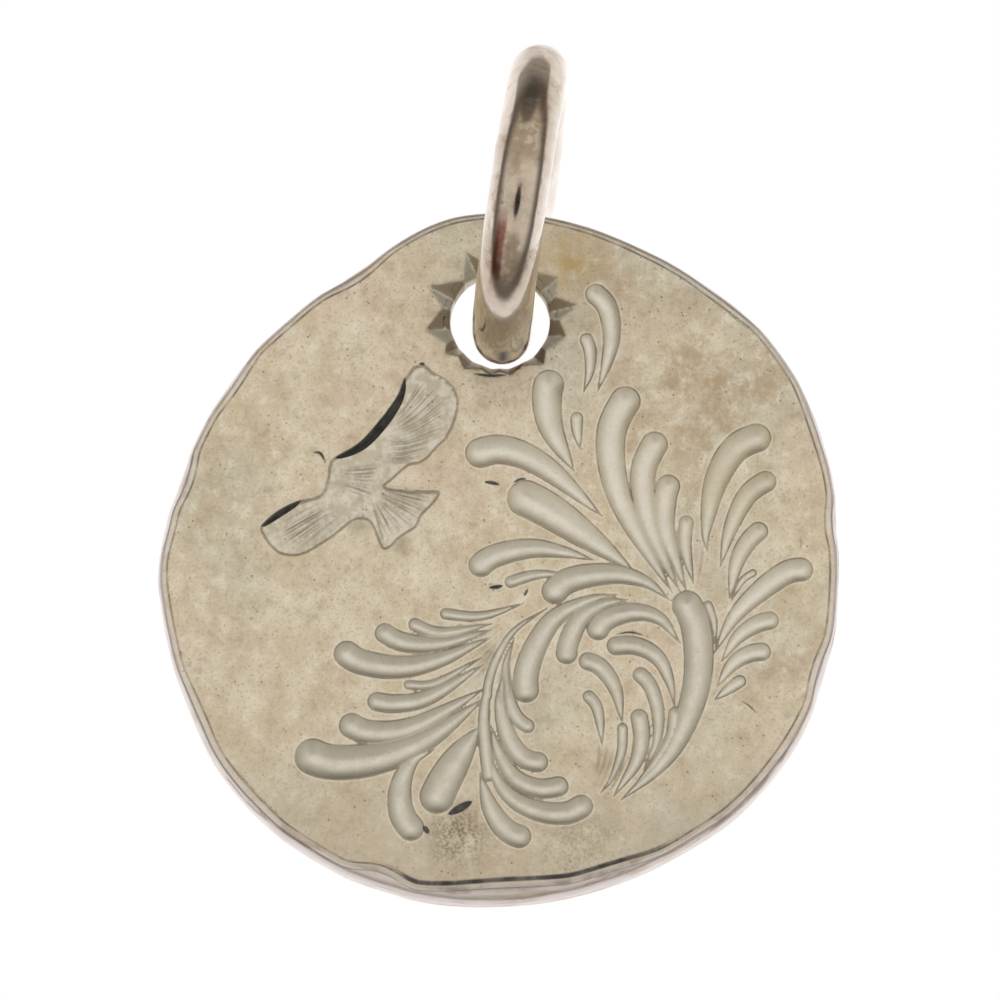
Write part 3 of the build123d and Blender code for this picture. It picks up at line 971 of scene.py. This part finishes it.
@dataclass
class Medallion:
    """The hammered disc: its uneven rim, the starred hole, the engraving and the flat pad on its back."""

    finish: bpy.types.Material
    thickness: float = 2.1
    back: float = -0.05
    radius: float = 17.2
    rim: tuple[Point, ...] = (
        (0, -0.25), (20, 0.0), (40, 0.2), (60, -0.05), (80, 0.15), (90, 0.25), (101, 0.05),
        (112, -0.8), (124, -1.2), (140, -1.15), (158, -0.95), (171, -0.6), (183, -0.1), (201, 0.1),
        (221, 0.65), (241, 0.85), (260, 0.7), (280, 0.5), (300, 0.45), (319, 0.55), (340, 0.15),
    )  # fmt: skip
    # Flats that the hammer left on the rim: each one's angle, half its length in degrees, its depth, and how far it
    # widens the front edge.
    flats: tuple[tuple[float, float, float, float], ...] = (
        (5, 4, 0.08, 0.10), (22, 7, 0.04, 0.02), (36, 5, 0.03, 0.0), (49, 7, 0.06, 0.12), (68, 6, 0.04, 0.0),
        (103, 5, 0.03, 0.05), (117, 6, 0.07, 0.15), (133, 5, 0.03, 0.0), (147, 6, 0.06, 0.14), (167, 5, 0.08, 0.16),
        (177, 4, 0.03, 0.05), (192, 6, 0.03, 0.0), (208, 6, 0.05, 0.06), (224, 6, 0.03, 0.0), (239, 6, 0.05, 0.06),
        (250, 5, 0.06, 0.40), (272, 14, 0.03, 0.44), (290, 7, 0.04, 0.22), (301, 6, 0.03, 0.0), (318, 6, 0.03, 0.02),
        (339, 5, 0.08, 0.14), (352, 4, 0.03, 0.0),
    )  # fmt: skip
    front_edge: float = 0.36
    back_edge: float = 0.45
    hole_z: float = 12.0
    hole_radius: float = 2.5
    hole_edge: float = 0.25
    notch_depth: float = 0.75
    notches: tuple[Point, ...] = (
        (9, 1.5), (35, 1.1), (62, 1.2), (90, 1.2), (117, 1.3), (156, 1.5), (190, 1.35),
        (214, 0.85), (236, 0.7), (260, 0.5), (280, 0.5), (312, 0.8), (343, 1.0),
    )  # fmt: skip
    pad_radius: float = 8.0
    touch: float = 0.001  # closer than this to a face counts as on it
    collar: float = 3.5  # walls nearer the hole's middle than this are the bore's, the others the rim's
    shoulder: float = 14.0  # outside this the back's cells widen to meet its own, narrower edge
    cells: int = 92
    wall_rows: int = 11
    cuts: list[Cut] = field(
        default_factory=lambda: [*UPPER_LEAVES, *RIGHT_LEAVES, *LEFT_LEAVES, *SCROLL, *LOWER_LEAVES]
    )
    details: list[Cut] = field(default_factory=lambda: [*SLIPS, *WING_SLOTS, *feather_cuts()])

    # -- outlines -----------------------------------------------------------

    def rim_radius(self, angle: np.ndarray) -> np.ndarray:
        """The rim's radius.

        Args:
            angle: angles from +X towards +Z, in radians.

        Returns:
            Millimetres, hammer flats included.
        """
        a = np.degrees(angle) % 360
        known = np.array(self.rim)
        known = np.vstack([known[-2:] - (360, 0), known, known[:2] + (360, 0)])
        smooth = curve_through([(p[0] / 20, p[1]) for p in known], 0.05)
        r = self.radius + np.interp(a, smooth[:, 0] * 20, smooth[:, 1])
        for place, half, depth, _ in self.flats:
            off = (a - place + 180) % 360 - 180
            r = r - depth * step(1.25, 0.35, np.abs(off) / half)
        return r

    def edge_inset(self, angle: np.ndarray) -> np.ndarray:
        """How far the front face ends inside the rim.

        Args:
            angle: angles, in radians.

        Returns:
            Millimetres.
        """
        a = np.degrees(angle) % 360
        inset = self.front_edge + 0.11 * (1 - np.sin(angle))
        inset = inset + 0.03 * np.sin(radians(1) * a * 7) + 0.02 * np.sin(radians(1) * a * 19 + 1)
        for place, half, _, wide in self.flats:
            off = (a - place + 180) % 360 - 180
            inset = inset + wide * step(1.4, 0.0, np.abs(off) / half)
        return inset

    def notch_cut(self, p: np.ndarray) -> tuple[np.ndarray, np.ndarray]:
        """How deep the chisel notches go.

        Args:
            p: points on the face.

        Returns:
            Millimetres, 0 beside them; and how far each facet looks up, 0 to 1, which the finish turns into painted
            light and shade.
        """
        q = p - (0.0, self.hole_z)
        deep, looks = np.zeros(len(p)), np.zeros(len(p))
        for angle, reach in self.notches:
            a = radians(angle)
            along = q @ (cos(a), sin(a))
            aside = q @ (-sin(a), cos(a))
            across = np.abs(aside)
            run = (self.hole_radius + reach - along) / reach
            cut = self.notch_depth * np.minimum(run, 1.15) - across * (0.75 + 0.15 * sin(7 * a))
            better = (along > 0) & (cut > deep)
            # painted light: facets on one side of each notch are marked lit, the others shaded
            looks = np.where(better, 0.5 - 0.5 * np.sign(aside) * cos(a + 0.6), looks)
            deep = np.where(better, cut, deep)
        return deep, looks

    # -- relief -------------------------------------------------------------

    def bird_depth(self, p: np.ndarray) -> tuple[np.ndarray, np.ndarray]:
        """The sunk bird's floor.

        Args:
            p: points on the face.

        Returns:
            Its depth, and how far each point lies inside its outline.
        """
        outline = curve_through([*BIRD, BIRD[0]], 0.15)
        inside = np.full(len(p), -FAR)
        close = np.all((p > outline.min(0) - 1) & (p < outline.max(0) + 1), axis=1)
        q = p[close]
        a, b = outline[:-1], outline[1:]
        ab = b - a
        t = np.clip(((q[:, None] - a) * ab).sum(2) / np.maximum((ab**2).sum(1), 1e-9), 0, 1)
        d = np.linalg.norm(q[:, None] - a - t[..., None] * ab, axis=2).min(1)
        crossing = ((a[:, 1] > q[:, None, 1]) != (b[:, 1] > q[:, None, 1])) & (
            q[:, None, 0] < ab[:, 0] * (q[:, None, 1] - a[:, 1]) / np.where(ab[:, 1] == 0, 1e-9, ab[:, 1]) + a[:, 0]
        )
        inside[close] = np.where(crossing.sum(1) % 2 == 1, d, -d)
        crown = 0.05 * step(0.5, 1.4, inside)
        return (0.17 - crown) * step(0.0, 0.16, inside), inside

    def relief(self, p: np.ndarray) -> dict[str, np.ndarray]:
        """Everything that is cut into the front at each point.

        Args:
            p: points on the face.

        Returns:
            Depth, and the marks that the finish reads; "edge", "bird", "detail", "soot" and "barb" are distances
            inside the nearest outline of their kind.
        """
        depth, core = np.zeros(len(p)), np.zeros(len(p))
        edge, detail, black_and_shade, barb = (np.full(len(p), -FAR) for _ in range(4))
        for cut in self.cuts:
            inside, bowl, middle = cut.hollow(p)
            better = (inside > 0) & (bowl > depth)
            depth = np.where(better, bowl, depth)
            core = np.where(better, middle, core)
            edge = np.maximum(edge, inside)
        floor, bird = self.bird_depth(p)
        depth = np.maximum(depth, floor)
        for cut in self.details:
            inside, bowl, _ = cut.hollow(p)
            depth = depth + np.where(inside > 0, bowl, 0) * (0.8 if cut.black_and_shade < 0.95 else 1.0)
            if cut.black_and_shade > 0.5:
                black_and_shade = np.maximum(black_and_shade, inside)
            elif cut.black_and_shade:
                barb = np.maximum(barb, inside * cut.black_and_shade / 0.4)
            detail = np.maximum(detail, inside)
        starred, looks = self.notch_cut(p)
        depth = np.maximum(depth, starred)
        # in the notches, core holds which way each facet faces, for its painted light and shade
        core = np.where(starred > 0, looks, core)
        return {
            "depth": depth, "core": core, "edge": edge, "bird": bird, "detail": detail, "black_and_shade": black_and_shade, "barb": barb,
            "notch": starred,
        }  # fmt: skip

    def snapped(self, p: np.ndarray, within: float) -> np.ndarray:
        """Moves points that lie close to an outline onto it, so that the cut's edge is clean.

        Args:
            p: points on the face.
            within: how close is close.

        Returns:
            The moved points.
        """
        best, target = np.full(len(p), -FAR), p.copy()
        for cut in [*self.cuts, *WING_SLOTS]:
            inside, half, near, away = cut.reach(p)
            better = inside > best
            on = near + (p - near) * (half / np.maximum(away, 1e-6))[:, None]
            target = np.where(better[:, None], on, target)
            best = np.maximum(best, inside)
        move = (np.abs(best) < within)[:, None]
        return np.where(move, target, p)

    # -- mesh ---------------------------------------------------------------

    def blank(self) -> bmesh.types.BMesh:
        """The front face with its hole, as a flat sheet of even cells.

        Returns:
            The sheet, in millimetres.
        """
        bm = bmesh.new()
        bmesh.ops.create_grid(bm, x_segments=self.cells, y_segments=self.cells, size=1.0)
        uv = np.array([v.co[:2] for v in bm.verts])
        x = uv[:, 0] * np.sqrt(1 - uv[:, 1] ** 2 / 2)
        z = uv[:, 1] * np.sqrt(1 - uv[:, 0] ** 2 / 2)
        angle = np.arctan2(z, x)
        r = self.rim_radius(angle) - self.edge_inset(angle)
        share = np.hypot(x, z)[:, None] ** 2
        size = r[:, None] * share + (self.radius - 0.6) * (1 - share)
        for v, (a, b) in zip(bm.verts, np.column_stack([x, z]) * size):
            v.co = (a, -self.thickness, b)
        middle = Vector((0, -self.thickness, self.hole_z))
        for limit in (0.25, 0.125):
            ring = [f for f in bm.faces if 2.2 < (f.calc_center_median() - middle).length < 4.3]
            edges = {e for f in ring for e in f.edges if e.calc_length() > limit}
            bmesh.ops.subdivide_edges(bm, edges=list(edges), cuts=1, use_grid_fill=True, use_single_edge=True)
        mouth = self.hole_radius + self.hole_edge
        gone = [f for f in bm.faces if (f.calc_center_median() - middle).length < mouth]
        bmesh.ops.delete(bm, geom=gone, context="FACES")
        lip = [v for v in bm.verts if v.is_boundary and (v.co - middle).length < 4]
        for v in lip:
            v.co = middle + (v.co - middle).normalized() * mouth
        near = [v for v in bm.verts if not v.is_boundary and (v.co - middle).length < 3.2]
        for _ in range(4):
            bmesh.ops.smooth_vert(bm, verts=near, factor=0.5, use_axis_x=True, use_axis_z=True)
        return bm

    def slab(self, bm: bmesh.types.BMesh) -> None:
        """Gives the sheet its thickness, its rounded rim and its bore.

        Args:
            bm: the sheet.
        """
        made = bmesh.ops.extrude_face_region(bm, geom=bm.faces[:], use_keep_orig=True)
        for v in made["geom"]:
            if isinstance(v, bmesh.types.BMVert):
                r = Vector((v.co.x, v.co.z)).length
                if r > self.shoulder and (v.co - Vector((0, v.co.y, self.hole_z))).length > 4:
                    angle = np.arctan2(v.co.z, v.co.x)
                    shift = float(self.edge_inset(angle) - self.back_edge) * float(step(self.shoulder, 17, r))
                    v.co.x += shift * cos(angle)
                    v.co.z += shift * sin(angle)
                v.co.y = self.back
        uprights = [e for e in bm.edges if abs(e.verts[0].co.y - e.verts[1].co.y) > 1]
        bmesh.ops.subdivide_edges(bm, edges=uprights, cuts=self.wall_rows, use_grid_fill=False)
        bmesh.ops.recalc_face_normals(bm, faces=bm.faces[:])
        for v in bm.verts:
            t = (v.co.y + self.thickness) / (self.back + self.thickness)
            if self.touch < t < 1 - self.touch:
                q = Vector((v.co.x, v.co.z - self.hole_z))
                if q.length < self.collar:
                    self.place_bore(v, q, t)
                else:
                    self.place_rim(v, t)

    def place_bore(self, v: bmesh.types.BMVert, q: Vector, t: float) -> None:
        """Puts one vertex on the bore's wall.

        Args:
            v: the vertex.
            q: its place from the hole's middle.
            t: how far it is from the front, 0 to 1.
        """
        y, inset = self.profile(t, self.hole_edge, self.hole_edge)
        q = q.normalized() * (self.hole_radius + inset)
        v.co = (q.x, y, q.y + self.hole_z)

    def place_rim(self, v: bmesh.types.BMVert, t: float) -> None:
        """Puts one vertex on the rim's wall.

        Args:
            v: the vertex.
            t: how far it is from the front, 0 to 1.
        """
        angle = np.arctan2(v.co.z, v.co.x)
        wide = float(self.edge_inset(angle))
        y, inset = self.profile(t, wide, self.back_edge)
        r = float(self.rim_radius(angle)) - inset
        v.co = (r * cos(angle), y, r * sin(angle))

    def profile(self, t: float, front: float, back: float) -> tuple[float, float]:
        """A wall's profile, which has an arc at each end and a straight between.

        Args:
            t: how far along it, 0 at the front and 1 at the back.
            front: the front arc's size.
            back: the back arc's size.

        Returns:
            y, and how far the wall lies inside its widest place.
        """
        deep, front_end, back_start = min(front, 0.6), 0.42, 0.62
        if t < front_end:
            a = (t / front_end) * pi / 2
            return -self.thickness + deep * (1 - cos(a)), front * (1 - sin(a))
        if t > back_start:
            a = (1 - t) / (1 - back_start) * pi / 2
            return self.back - back * (1 - cos(a)), back * (1 - sin(a))
        s = (t - front_end) / (back_start - front_end)
        return -self.thickness + deep + s * (self.thickness + self.back - deep - back), 0.0

    def refine(self, bm: bmesh.types.BMesh) -> None:
        """Cuts the front's cells finer where something is engraved.

        Args:
            bm: the slab.
        """
        level = -self.thickness + self.touch
        front = [f for f in bm.faces if f.normal.y < -0.99 and f.calc_center_median().y < level]
        bmesh.ops.inset_region(bm, faces=front, thickness=0.11, use_even_offset=False, use_boundary=True)
        for limit, margin in ((0.235, 0.30), (0.125, 0.10), (0.07, 0.0)):
            faces = [f for f in bm.faces if all(v.co.y < level for v in f.verts)]
            centres = np.array([(c.x, c.z) for c in (f.calc_center_median() for f in faces)])
            found = self.relief(centres)
            bird = found["bird"]
            near = np.maximum.reduce([found["edge"], -np.abs(bird), found["detail"], (bird > 0) - 1.0])
            wanted = near > -margin if margin else (bird > 0.02) | (found["black_and_shade"] > -0.03)
            chosen = {f for f, fine in zip(faces, wanted) if fine}
            flat = set(faces)
            sides = {e for f in chosen for e in f.edges if e.calc_length() > limit}
            edges = [e for e in sides if all(f in flat for f in e.link_faces)]
            bmesh.ops.subdivide_edges(bm, edges=edges, cuts=1, use_grid_fill=True, use_single_edge=True)

    def carve(self, mesh: bpy.types.Mesh) -> None:
        """Sinks the engraving and the notches, dents the walls and the back, and stores the finish's marks.

        Args:
            mesh: the disc, in millimetres.
        """
        n = len(mesh.vertices)
        co = np.empty(n * 3)
        mesh.vertices.foreach_get("co", co)
        co = co.reshape(-1, 3)
        angle, r = np.arctan2(co[:, 2], co[:, 0]), np.hypot(co[:, 0], co[:, 2])
        bore = np.hypot(co[:, 0], co[:, 2] - self.hole_z)
        front = co[:, 1] < -self.thickness + self.touch
        back = co[:, 1] > self.back - self.touch
        wall = ~front & ~back & (bore > self.collar)
        throat = ~front & ~back & (bore < self.collar)
        plain = {"edge": -0.5, "bird": -0.5, "black_and_shade": -0.5, "barb": -0.5, "notch": 0, "core": 0, "lip": 0.8, "wall": 0}
        marks = {name: np.full(n, float(value)) for name, value in plain.items()}

        face = np.flatnonzero(front)
        lip = self.rim_radius(angle[face]) - self.edge_inset(angle[face]) - r[face]
        p = co[face][:, (0, 2)]
        inner = (lip > 0.3) & (bore[face] > 2.76)
        p = np.where(inner[:, None], self.snapped(p, 0.045), p)
        found = self.relief(p)
        wave = 0.02 * ripple(co[face], 5.0, 3.0) + 0.008 * ripple(co[face], 1.7, 8.0)
        keep = step(0.0, 1.2, lip)
        co[face, 0], co[face, 2] = p[:, 0], p[:, 1]
        burr = 0.018 * np.exp(-((found["edge"] / 0.07 + 1.0) ** 2)) * (found["depth"] < 0.01)
        roll = 0.02 * np.exp(-np.maximum(lip, 0) / 0.3) * (1 + 0.5 * np.sin(angle[face] * 23))
        co[face, 1] += found["depth"] + wave * keep - burr + roll * (bore[face] > self.collar)
        for name in ("edge", "bird", "black_and_shade", "barb", "notch"):
            marks[name][face] = np.clip(found[name], -0.5, 0.5)
        marks["core"][face] = found["core"]
        marks["lip"][face] = np.clip(lip, 0, 0.8)

        edge = np.flatnonzero(wall)
        along = (co[edge, 1] + self.thickness) / self.thickness
        dents = 0.035 * ripple(np.column_stack([co[edge, 0], co[edge, 1] * 1.6, co[edge, 2]]), 1.5, 5.0)
        dents = dents + 0.03 * ripple(co[edge], 3.2, 12.0)
        fade = np.sin(pi * np.clip(along, 0, 1)) ** 0.6
        push = 1 + dents * fade / r[edge]
        co[edge, 0] *= push
        co[edge, 2] *= push
        out = r[edge] - self.rim_radius(angle[edge]) + self.edge_inset(angle[edge])
        marks["wall"][edge] = np.maximum(step(0.06, 0.28, out), step(0.25, 0.35, along))
        marks["lip"][edge] = -np.clip(np.maximum(out, 0) + 0.4 * along, 0, 0.8)

        ring = np.flatnonzero(throat)
        q = co[ring][:, (0, 2)]
        deep, marks["core"][ring] = self.notch_cut(q)
        whole = self.thickness + self.back
        co[ring, 1] = self.back + (co[ring, 1] - self.back) * (whole - deep) / whole
        marks["notch"][ring] = np.maximum(np.clip(deep, 0, 0.5), 0.03)

        rear = np.flatnonzero(back)
        q = co[rear][:, (0, 2)]
        outside = step(self.pad_radius - 0.2, self.pad_radius + 0.3, r[rear])
        hammer = self.hammer_marks(q)
        marks["core"][rear] = np.clip(hammer / 0.11, 0, 1)
        brink = self.rim_radius(angle[rear]) - self.back_edge - r[rear]
        co[rear, 1] = (self.back - hammer) * outside
        co[rear, 1] = np.where((bore[rear] < 2.9) | (brink < 0.1), self.back, co[rear, 1])
        mesh.vertices.foreach_set("co", (co * MM).ravel())
        for name, values in marks.items():
            remember(mesh, name, values)
        mesh.update()

    def hammer_marks(self, p: np.ndarray) -> np.ndarray:
        """The planishing dents on the back.

        Args:
            p: points on the back.

        Returns:
            Their depth.
        """
        rng = np.random.default_rng(5)
        grid = np.stack(np.meshgrid(np.arange(-18, 19, 2.1), np.arange(-18, 19, 2.1)), -1).reshape(-1, 2)
        deep = np.zeros(len(p))
        for centre, size in zip(grid + rng.uniform(-0.8, 0.8, grid.shape), rng.uniform(1.3, 2.1, len(grid))):
            d = np.linalg.norm(p - centre, axis=1) / size
            deep = np.maximum(deep, 0.07 * size * np.clip(1 - d * d, 0, None))
        return deep

    def build(self) -> bpy.types.Object:
        """Makes the disc.

        Returns:
            The piece, on its body.
        """
        bm = self.blank()
        self.slab(bm)
        self.refine(bm)
        bmesh.ops.triangulate(bm, faces=[f for f in bm.faces if len(f.verts) > 4])
        piece = finished(bm, "engraved_medallion", self.finish)
        self.carve(piece.data)
        piece.data.set_sharp_from_angle(angle=radians(52))
        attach(piece, "medallion")
        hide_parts("medallion_disc")
        return piece


@dataclass
class HangingRing:
    """The round-wire ring that hangs in the hole, and the solder that closes it."""

    silver: bpy.types.Material
    solder: bpy.types.Material
    wire: float = 3.0
    inner: float = 10.2
    turn: float = 8.5  # degrees it has swung sideways round the hole
    lean: float = 28.68  # degrees it leans forward
    seam_angle: float = 20.0
    seam_width: float = 0.3
    seam_swell: float = 0.03
    wear: float = 0.012  # how far the wire's skin lies under its full size
    steps: int = 176
    sides: int = 48

    def frame(self) -> Matrix:
        """The ring's own place: its plane is local YZ and its middle the origin.

        Returns:
            The matrix from its own millimetres to the row frame in metres.
        """
        low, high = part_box("hanging_ring")
        turned = Matrix.Rotation(radians(self.turn), 4, "Y")
        return Matrix.Translation((low + high) / 2) @ turned @ Matrix.Scale(MM, 4)

    @property
    def middle(self) -> float:
        """The radius of the wire's middle line."""
        return (self.inner + self.wire) / 2

    def spoke(self, co: Vector) -> Vector:
        """The place on the wire's middle line that is nearest to a point."""
        return Vector((0, co.y, co.z)).normalized() * self.middle

    def tube(self, start: float, sweep: float, steps: int) -> bmesh.types.BMesh:
        """A length of the wire.

        Args:
            start: where it begins, in degrees up from the rear.
            sweep: how far it goes, in degrees.
            steps: in how many steps.

        Returns:
            The wire, in its own millimetres.
        """
        bm = bmesh.new()
        whole = sweep == 360
        made = bmesh.ops.create_circle(bm, cap_ends=False, segments=self.sides, radius=self.wire / 2)
        bmesh.ops.rotate(bm, verts=made["verts"], matrix=Matrix.Rotation(pi / 2, 3, "Z"))
        bmesh.ops.translate(bm, verts=made["verts"], vec=(0, self.middle, 0))
        bmesh.ops.rotate(bm, verts=made["verts"], matrix=Matrix.Rotation(radians(start), 3, "X"))
        bmesh.ops.spin(
            bm,
            geom=bm.verts[:] + bm.edges[:],
            cent=(0, 0, 0),
            axis=(1, 0, 0),
            angle=radians(sweep),
            steps=steps,
            use_merge=bool(whole),
            use_duplicate=False,
        )
        if not whole:
            bmesh.ops.holes_fill(bm, edges=[e for e in bm.edges if e.is_boundary], sides=0)
        bmesh.ops.recalc_face_normals(bm, faces=bm.faces[:])
        return bm

    def build_wire(self) -> bpy.types.Object:
        """Makes the ring.

        Returns:
            The piece, on its body.
        """
        bm = self.tube(0, 360, self.steps)
        outer = []
        for v in bm.verts:
            spoke = self.spoke(v.co)
            out = (v.co - spoke).normalized()
            dent = 0.018 * noise.noise(v.co * 0.55 + Vector((7, 0, 0))) + 0.008 * noise.noise(v.co * 1.6)
            v.co = spoke + out * (self.wire / 2 - self.wear + dent)
            outer.append(max(0.0, out.dot(spoke.normalized())))
        bmesh.ops.transform(bm, matrix=self.frame(), verts=bm.verts[:])
        piece = finished(bm, "hanging_ring_wire", self.silver)
        remember(piece.data, "film", np.array(outer) ** 1.5)
        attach(piece, "ring")
        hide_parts("hanging_ring")
        return piece

    def build_seam(self) -> bpy.types.Object:
        """Makes the solder bead that closes the ring.

        Returns:
            The piece, on its body.
        """
        span = np.degrees(self.seam_width / self.middle)
        place = self.seam_angle - self.lean - span / 2
        bm = self.tube(place, span, 8)
        low, high = radians(place), radians(place + span)
        for v in bm.verts:
            angle = np.arctan2(v.co.z, v.co.y)
            spoke = self.spoke(v.co)
            t = min(1.0, max(0.0, (angle - low) / (high - low)))
            swell = self.seam_swell * (sin(pi * t) - 1) + 0.012 * noise.noise(v.co * 2.5)
            v.co = spoke + (v.co - spoke).normalized() * (self.wire / 2 + swell)
        bmesh.ops.transform(bm, matrix=self.frame(), verts=bm.verts[:])
        piece = finished(bm, "ring_solder_bead", self.solder)
        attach(piece, "ring")
        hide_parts("ring_solder_seam")
        return piece


# ---------------------------------------------------------------------------
# Studio
# ---------------------------------------------------------------------------


@dataclass(frozen=True)
class Tent:
    """The light tent: white beside and behind, with a lit opening in front that has a dim frame."""

    dim: Colour = (0.22, 0.20, 0.18)  # the frame in front
    lit: Colour = (0.95, 0.91, 0.84)  # the opening inside it
    corner: Colour = (0.46, 0.44, 0.40)  # where the front meets the sides
    roof: Colour = (1.20, 1.165, 1.15)
    foot: Colour = (1.02, 0.97, 0.94)
    hatch: Colour = (0.13, 0.13, 0.125)  # high in front
    window: Colour = (1.05, 1.0, 0.93)  # above the camera
    lens: Colour = (0.05, 0.045, 0.04)
    table: Colour = (0.26, 0.23, 0.21)
    shown: Colour = (1.0, 1.0, 1.0)  # what the camera itself sees

    def build(self) -> None:
        """Lights the scene from all round."""
        world = bpy.data.worlds.new("tent")
        world.use_nodes = True
        bpy.context.scene.world = world
        g = Graph(world.node_tree)
        way = g.node("ShaderNodeTexCoord", {}, {}, "Generated")
        x, y, z = (g.node("ShaderNodeSeparateXYZ", {}, {0: way}, i) for i in range(3))

        def toward(side: float, up: float) -> Value:
            """How closely the ray runs towards a direction, as a cosine."""
            a, e = radians(side), radians(up)
            return x * (sin(a) * cos(e)) + y * (-cos(a) * cos(e)) + z * sin(e)

        ahead = toward(0, 0)
        front = g.layers(
            g.blend(ahead.ramp(0.20, 0.60), self.dim, self.lit), (ahead.ramp(0.12, -0.25), self.corner)
        )
        rear = g.blend(z.ramp(-0.10, -0.60), self.roof, self.foot)
        hood = z.over(0.0) * abs(x).ramp(0.75, 0.40) * 0.62
        light = g.layers(
            g.blend((ahead + hood).ramp(-0.04, 0.12), rear, front),
            (toward(0, 66).ramp(0.90, 0.965) * 0.8, self.hatch),
            (toward(2, 24).ramp(0.90, 0.97) * 0.6, self.window),
            (toward(0, -12).ramp(0.972, 0.985), self.lens),
            (toward(0, -55).ramp(0.85, 0.97) * 0.3, self.table),
            (g.node("ShaderNodeLightPath", {}, {}, "Is Camera Ray"), self.shown),
        )
        g.node("ShaderNodeOutputWorld", {}, {0: g.node("ShaderNodeBackground", {}, {"Color": light, "Strength": 1.0})})


@dataclass
class Studio:
    """The light tent, a pale floor, soft lamps and the camera."""

    paper: bpy.types.Material
    tent: Tent = Tent()
    floor_z: float = -0.30
    tilt: float = -12.0
    distance: float = 0.60
    field: float = 0.050
    aim: tuple[float, float, float] = (0.0, -0.0021, 0.00262)

    def floor(self) -> bpy.types.Object:
        """Lays the floor.

        Returns:
            The floor, which no reflection shows.
        """
        bm = bmesh.new()
        bmesh.ops.create_grid(bm, x_segments=8, y_segments=8, size=2.0)
        bmesh.ops.translate(bm, verts=bm.verts[:], vec=(0, 0, self.floor_z))
        floor = finished(bm, "studio_floor", self.paper)
        floor.visible_glossy = False
        return floor

    def stand(self, name: str, data: bpy.types.ID, place: Vector) -> bpy.types.Object:
        """Stands a lamp or the camera somewhere, facing the medallion.

        Args:
            name: its name.
            data: the lamp's or the camera's data.
            place: where it stands.

        Returns:
            The object.
        """
        stood = bpy.data.objects.new(name, data)
        stood.location = place
        stood.rotation_mode = "QUATERNION"
        stood.rotation_quaternion = (place - Vector(self.aim)).to_track_quat("Z", "Y")
        bpy.context.scene.collection.objects.link(stood)
        return stood

    def lamp(self, name: str, place: tuple[float, float, float], size: float, power: float) -> None:
        """Hangs one soft lamp, which neither the camera nor a reflection shows.

        Args:
            name: its name.
            place: where it hangs.
            size: its diameter.
            power: its power in watts.
        """
        light = bpy.data.lights.new(name, "AREA")
        light.shape, light.size, light.energy = "DISK", size, power
        lamp = self.stand(name, light, Vector(place))
        lamp.visible_camera = False
        lamp.visible_glossy = False

    def camera(self) -> None:
        """Stands the camera a little below the medallion, with a long lens."""
        data = bpy.data.cameras.new("camera")
        data.sensor_width = 36.0
        data.lens = data.sensor_width * self.distance / self.field
        data.clip_start, data.clip_end = 0.05, 10.0
        e = radians(self.tilt)
        place = Vector(self.aim) + Vector((0, -cos(e), sin(e))) * self.distance
        bpy.context.scene.camera = self.stand("camera", data, place)

    def build(self) -> None:
        """Sets up the whole studio."""
        bpy.context.scene.view_settings.view_transform = "Standard"
        self.camera()
        self.floor()
        self.tent.build()
        self.lamp("key_lamp", (-0.35, -0.55, 0.55), 0.60, 1.9)
        self.lamp("fill_lamp", (0.50, -0.45, 0.20), 0.60, 1.1)


def main() -> None:
    """Builds the studio and the pendant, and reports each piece."""
    logging.basicConfig(level=logging.INFO, format="%(message)s")
    Studio(StudioPaper().material()).build()
    disc = Medallion(EngravedSilver().material()).build()
    ring = HangingRing(PolishedSilver().material(), SilverSolder().material())
    pieces = [disc, ring.build_wire(), ring.build_seam()]
    for piece in pieces:
        LOG.info("%s: %d triangles", piece.name, sum(len(f.vertices) - 2 for f in piece.data.polygons))


if __name__ == "__main__":
    main()
